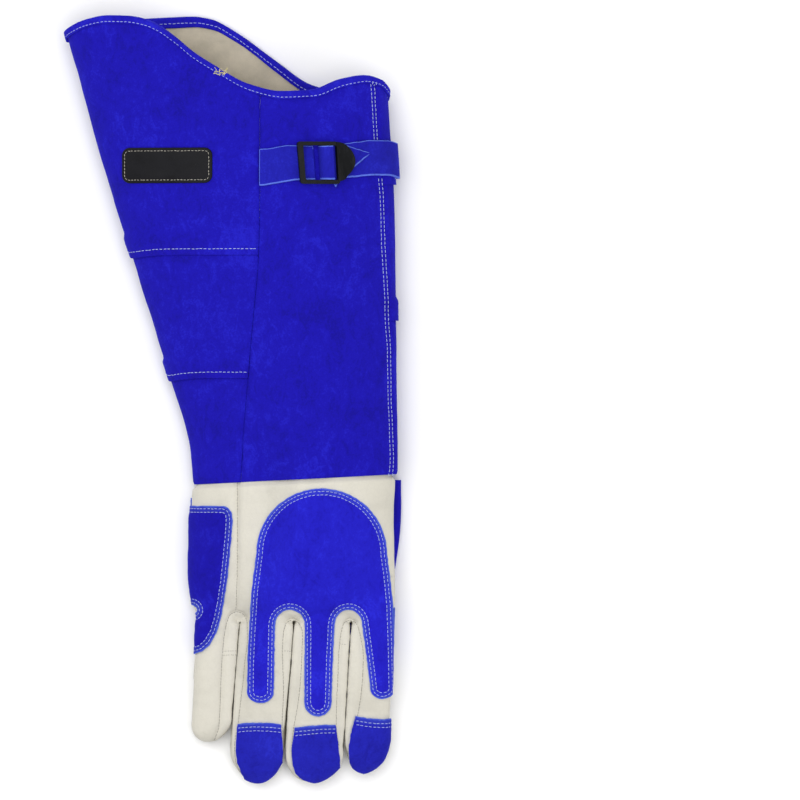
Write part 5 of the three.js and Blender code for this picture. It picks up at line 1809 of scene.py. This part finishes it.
class GLOVE_OT_cuff_stitches(bpy.types.Operator):
    """Sew the cuff: rim, hem, laps, the double seam and the label's border"""

    bl_idname = "glove.cuff_stitches"
    bl_label = "Cuff stitches"

    def execute(self, context):
        sizes = context.scene.glove_sizes
        pitch, length, thickness = sizes.pitch / MM, sizes.stitch / MM, sizes.thread / MM
        rows = []
        panels = [piece for name, piece in CUFF.items() if name != "rim_binding"]
        binding = [CUFF["rim_binding"]]
        turns = np.linspace(0, 1, 900)
        rows.append(row_up(*settled(*on_sleeve(turns, rim_y(turns) - 4.9, 1.9), binding, -0.1), pitch))
        here, out = on_sleeve(turns, rim_y(turns) - 5.0, -5.45)
        rows.append(row_up(*settled(here, -out, binding), pitch))
        for line in SIDE_LAPS:
            rows.append(row_up(*settled(*lap_row(line, turned_turn, palm_seam_turn), panels), pitch))
        for line in PALM_LAPS:
            rows.append(row_up(*settled(*lap_row(line, stitched_turn, past_fold, 0.16), panels), pitch))
        for left in SEAM_ROWS:
            for low, high in ((-60, STRAP_Y - 11), (STRAP_Y + 18, None)):
                top = high if high else float(rim_y(stitched_turn(246.0))) - BINDING_WIDTH + 3
                y = np.linspace(low, top, 260)
                turn = turn_on_back(curve(SEAM_Y, SEAM_STITCHED, y) - left, y)
                rows.append(row_up(*settled(*on_sleeve(turn, y, 0.12), panels + binding), pitch))
        stitch_rows("cuff_stitches", rows, "thread", length, thickness)

        border = even_loop(rounded_outline(**LABEL, inset=2.5), 0.6)
        border = np.vstack([border, border[:1]])
        turn = turn_on_back(border[:, 0], border[:, 1])
        row = row_up(*on_sleeve(turn, border[:, 1], GAP + 1.3), 2.7)
        stitch_rows("label_stitches", [row], "label_thread", 2.0, 0.5)
        return {"FINISHED"}


def inset_line(outline, inset, step=0.8):
    """A line inside a closed outline at an even distance from it."""
    loop = even_loop(np.asarray(outline, float), step)
    ahead = np.roll(loop, -2, axis=0) - np.roll(loop, 2, axis=0)
    ahead /= np.linalg.norm(ahead, axis=1, keepdims=True)
    area = np.sum(loop[:, 0] * np.roll(loop[:, 1], -1) - np.roll(loop[:, 0], -1) * loop[:, 1])
    inward = np.stack([-ahead[:, 1], ahead[:, 0]], axis=-1) * (1 if area > 0 else -1)
    line = loop + inward * inset
    kept = distance_to(closed([tuple(p) for p in loop]), line) > inset - 0.15
    line = line[kept]
    for _ in range(3):
        line = (np.roll(line, 1, axis=0) + 2 * line + np.roll(line, -1, axis=0)) / 4
    return np.vstack([line, line[:1]])


def laid_on(tree, line, from_above=True):
    """Drops a flat line onto a piece from above, or lifts it from below. Gaps split it into runs."""
    runs, here, out = [], [], []
    direction = Vector((0, 0, -1 if from_above else 1))
    start_z = 0.2 if from_above else -0.05
    for x, y in line:
        hit = tree.ray_cast(Vector((x * MM, y * MM, start_z)), direction)
        good = hit[0] is not None and abs(hit[1].z) > 0.12
        if good and here and np.linalg.norm(np.array(hit[0]) / MM - here[-1]) > 4:
            runs.append((here, out))
            here, out = [], []
        if good:
            here.append(np.array(hit[0]) / MM)
            out.append(np.array(hit[1]))
        elif here:
            runs.append((here, out))
            here, out = [], []
    if here:
        runs.append((here, out))
    return [(np.array(a), soft_normals(np.array(b))) for a, b in runs if len(a) > 4]


def soft_normals(normals):
    for _ in range(4):
        inner = (normals[:-2] + 2 * normals[1:-1] + normals[2:]) / 4
        normals = np.vstack([normals[:1], inner, normals[-1:]])
    return normals


def tree_of(piece):
    return BVHTree.FromObject(piece, bpy.context.evaluated_depsgraph_get())


def dense(line, step=0.7):
    """A line with extra points between its corners."""
    line = np.asarray(line, float)
    length = lengths_along(line)
    at = np.arange(0, length[-1], step)
    return np.stack([curve(length, line[:, k], at) for k in range(2)], axis=-1)


# Short seams across the strips between the fingers: from and to, one row each
CROSS_ROWS = [
    ((-7.6, -196.2), (4.6, -195.8)), ((-7.6, -199.4), (4.4, -199.0)),
    ((40.2, -195.6), (46.0, -196.0)), ((83.4, -190.2), (88.6, -190.6)),
]


class GLOVE_OT_hand_stitches(bpy.types.Operator):
    """Sew the patches and caps with double rows, and thread the hand's turned seams"""

    bl_idname = "glove.hand_stitches"
    bl_label = "Hand stitches"

    def execute(self, context):
        sizes = context.scene.glove_sizes
        pitch, length, thickness = sizes.pitch / MM, sizes.stitch / MM, sizes.thread / MM
        rows = []

        def sew(piece, line, from_above=True):
            for here, out in laid_on(tree_of(PATCHES[piece]), line, from_above):
                if np.linalg.norm(here[-1] - here[0]) > 2 or len(here) > 12:
                    rows.append(row_up(here, out, pitch))

        for inset in PATCH_ROWS:
            sew("back_patch", inset_line(BACK_PATCH, inset))
            sew("side_patch", inset_line(SIDE_PATCH_BACK, inset))
            sew("side_patch", inset_line(SIDE_PATCH_PALM, inset), False)
            sew("side_patch", inset_line(SIDE_PATCH_LOW, inset), False)
            sew("palm_patch", inset_line(PALM_PATCH, inset), False)
        for name, outline in CAPS:
            for inset in CAP_ROWS:
                sew(f"fingertip_{name}", dense(cap_edge(outline)) - np.array([0, inset]))
        stitch_rows("hand_stitches", rows, "thread", length, thickness)

        seams = []
        skin = tree_of(hand_skin()["body"])
        for line in BACK_SEAMS:
            seams += [row_up(here, out, 2.3) for here, out in laid_on(skin, dense(line))]
        for line in PALM_SEAMS:
            seams += [row_up(here, out, 2.3) for here, out in laid_on(skin, dense(line), False)]
        stitch_rows("seam_stitches", seams, "seam_thread", 2.1, 0.42)
        across = []
        for start, end in CROSS_ROWS:
            across += [row_up(here, out, 1.9) for here, out in laid_on(skin, dense([start, end], 0.4))]
        stitch_rows("cross_stitches", across, "seam_thread", 1.2, 0.4)
        bpy.data.objects.remove(SKIN.pop("body"))
        return {"FINISHED"}


FRAYED_AT = np.array([-7.6, 254.5])


class GLOVE_OT_loose_threads(bpy.types.Operator):
    """Leave the frayed ends of thread that stick out at the rim"""

    bl_idname = "glove.loose_threads"
    bl_label = "Loose threads"

    def execute(self, context):
        chance = np.random.default_rng(23)
        deselect_all()
        bpy.ops.curve.primitive_bezier_curve_add()
        strands = bpy.context.object
        strands.name = strands.data.name = "loose_threads"
        strands.data.splines.clear()
        for _ in range(14):
            spline = strands.data.splines.new("BEZIER")
            spline.bezier_points.add(3)
            x, y = FRAYED_AT + chance.uniform(-1, 1, 2) * (4.5, 2.2)
            point = sleeve(turn_on_back(x, y), y, 2.5)
            heading = chance.uniform(0, 2 * math.pi)
            for knot in spline.bezier_points:
                knot.co = Vector(point * MM)
                knot.handle_left_type = knot.handle_right_type = "AUTO"
                reach = chance.uniform(1.2, 2.6)
                point = point + np.array([math.cos(heading) * reach, math.sin(heading) * reach * 0.7, 0.2])
                heading += chance.uniform(-1.3, 1.3)
        strands.data.dimensions = "3D"
        strands.data.bevel_depth = 0.2 * MM
        strands.data.bevel_resolution = 1
        strands.data.resolution_u = 5
        strands.data.use_fill_caps = True
        pick(strands)
        bpy.ops.object.convert(target="MESH")
        strands = bpy.context.object
        strands.name = strands.data.name = "loose_threads"
        finish_piece(strands, finish("loose_thread"), (), 60)
        return {"FINISHED"}


# The stage


# The photo's middle and width in the part's frame
VIEW_X, VIEW_Y, VIEW_WIDTH = 130.8, 0.0, 626.4


class GLOVE_OT_stage(bpy.types.Operator):
    """Set a pale floor, soft studio lights and the camera straight above"""

    bl_idname = "glove.stage"
    bl_label = "Stage"

    def execute(self, context):
        scene = context.scene
        deselect_all()
        bpy.ops.mesh.primitive_plane_add(size=6.0, location=(0, 0, 0))
        floor = bpy.context.object
        floor.name = "floor"
        material, sheet, shader, at = new_material("pale_floor")
        shade_of = sheet.noise(at, 1.5, 2)
        sheet.join(
            sheet.mix(sheet.span(shade_of, 0.3, 0.7), rgba((0.90, 0.90, 0.90)), rgba((0.93, 0.93, 0.93))),
            shader.inputs["Base Color"],
        )
        shader.inputs["Roughness"].default_value = 0.9
        floor.data.materials.append(material)

        lights = [
            ("soft_box", (-0.15, 0.3, 2.0), 1.6, 29.0, (1.0, 1.0, 1.0)),
            ("fill_box", (1.3, -0.9, 1.5), 1.4, 11.0, (1.0, 0.99, 0.97)),
            ("edge_box", (-1.5, 0.9, 0.9), 0.9, 7.0, (0.97, 0.98, 1.0)),
        ]
        for name, place, size, power, color in lights:
            deselect_all()
            bpy.ops.object.light_add(type="AREA", location=place)
            light = bpy.context.object
            light.name = name
            light.data.size = size
            light.data.energy = power
            light.data.color = color
            aim = Vector((0.03, 0.0, 0.0)) - Vector(place)
            light.rotation_euler = aim.to_track_quat("-Z", "Y").to_euler()

        scene.view_settings.view_transform = "Standard"
        world = scene.world or bpy.data.worlds.new("World")
        scene.world = world
        world.use_nodes = True
        sky = world.node_tree.nodes["Background"]
        sky.inputs["Color"].default_value = (1.0, 1.0, 1.0, 1.0)
        sky.inputs["Strength"].default_value = 0.5

        deselect_all()
        distance = 9.0
        bpy.ops.object.camera_add(location=(VIEW_X * MM, VIEW_Y * MM, distance), rotation=(0, 0, 0))
        camera = bpy.context.object
        camera.data.sensor_width = 36.0
        camera.data.lens = 36.0 * distance / (VIEW_WIDTH * MM)
        camera.data.clip_end = 30.0
        scene.camera = camera
        return {"FINISHED"}


class GloveColours(bpy.types.PropertyGroup):
    suede: bpy.props.FloatVectorProperty(
        name="Suede", description="Blue split leather of the cuff, thumb and patches", subtype="COLOR",
        default=(0.0085, 0.0045, 0.36), min=0, max=1)
    grain: bpy.props.FloatVectorProperty(
        name="Grain leather", description="Cream leather of the hand", subtype="COLOR",
        default=(0.59, 0.565, 0.49), min=0, max=1)
    lining: bpy.props.FloatVectorProperty(
        name="Lining", description="Cloth inside the cuff", subtype="COLOR",
        default=(0.56, 0.5, 0.39), min=0, max=1)
    thread: bpy.props.FloatVectorProperty(
        name="Thread", description="Sewing thread", subtype="COLOR", default=(0.44, 0.50, 0.82), min=0, max=1)


class GloveSizes(bpy.types.PropertyGroup):
    stitch: bpy.props.FloatProperty(
        name="Stitch", description="Length of one stitch", default=2.5 * MM, unit="LENGTH", min=0.5 * MM)
    pitch: bpy.props.FloatProperty(
        name="Stitch pitch", description="From one stitch to the next", default=3.3 * MM, unit="LENGTH",
        min=0.8 * MM)
    thread: bpy.props.FloatProperty(
        name="Thread", description="Thickness of the sewing thread", default=0.56 * MM, unit="LENGTH",
        min=0.1 * MM)


class GLOVE_PT_panel(bpy.types.Panel):
    """Lists the glove's colours, sizes and pieces"""

    bl_idname = "GLOVE_PT_panel"
    bl_label = "Glove"
    bl_space_type = "VIEW_3D"
    bl_region_type = "UI"
    bl_category = "Glove"

    def draw(self, context):
        for group in (context.scene.glove_colours, context.scene.glove_sizes):
            for key in group.__annotations__:
                self.layout.prop(group, key)
        for operator in OPERATORS:
            self.layout.operator(operator.bl_idname)


OPERATORS = [
    GLOVE_OT_cuff_panels, GLOVE_OT_rim, GLOVE_OT_label, GLOVE_OT_strap, GLOVE_OT_buckle,
    GLOVE_OT_hanging_loop, GLOVE_OT_hand, GLOVE_OT_patches, GLOVE_OT_thumb, GLOVE_OT_cuff_stitches,
    GLOVE_OT_hand_stitches, GLOVE_OT_loose_threads, GLOVE_OT_stage,
]
CLASSES = [GloveColours, GloveSizes, *OPERATORS, GLOVE_PT_panel]


def register():
    for kind in CLASSES:
        bpy.utils.register_class(kind)
    bpy.types.Scene.glove_colours = bpy.props.PointerProperty(type=GloveColours)
    bpy.types.Scene.glove_sizes = bpy.props.PointerProperty(type=GloveSizes)


def unregister():
    del bpy.types.Scene.glove_sizes
    del bpy.types.Scene.glove_colours
    for kind in reversed(CLASSES):
        bpy.utils.unregister_class(kind)


def main():
    register()
    for operator in OPERATORS:
        group, name = operator.bl_idname.split(".")
        getattr(getattr(bpy.ops, group), name)()


if __name__ == "__main__":
    main()
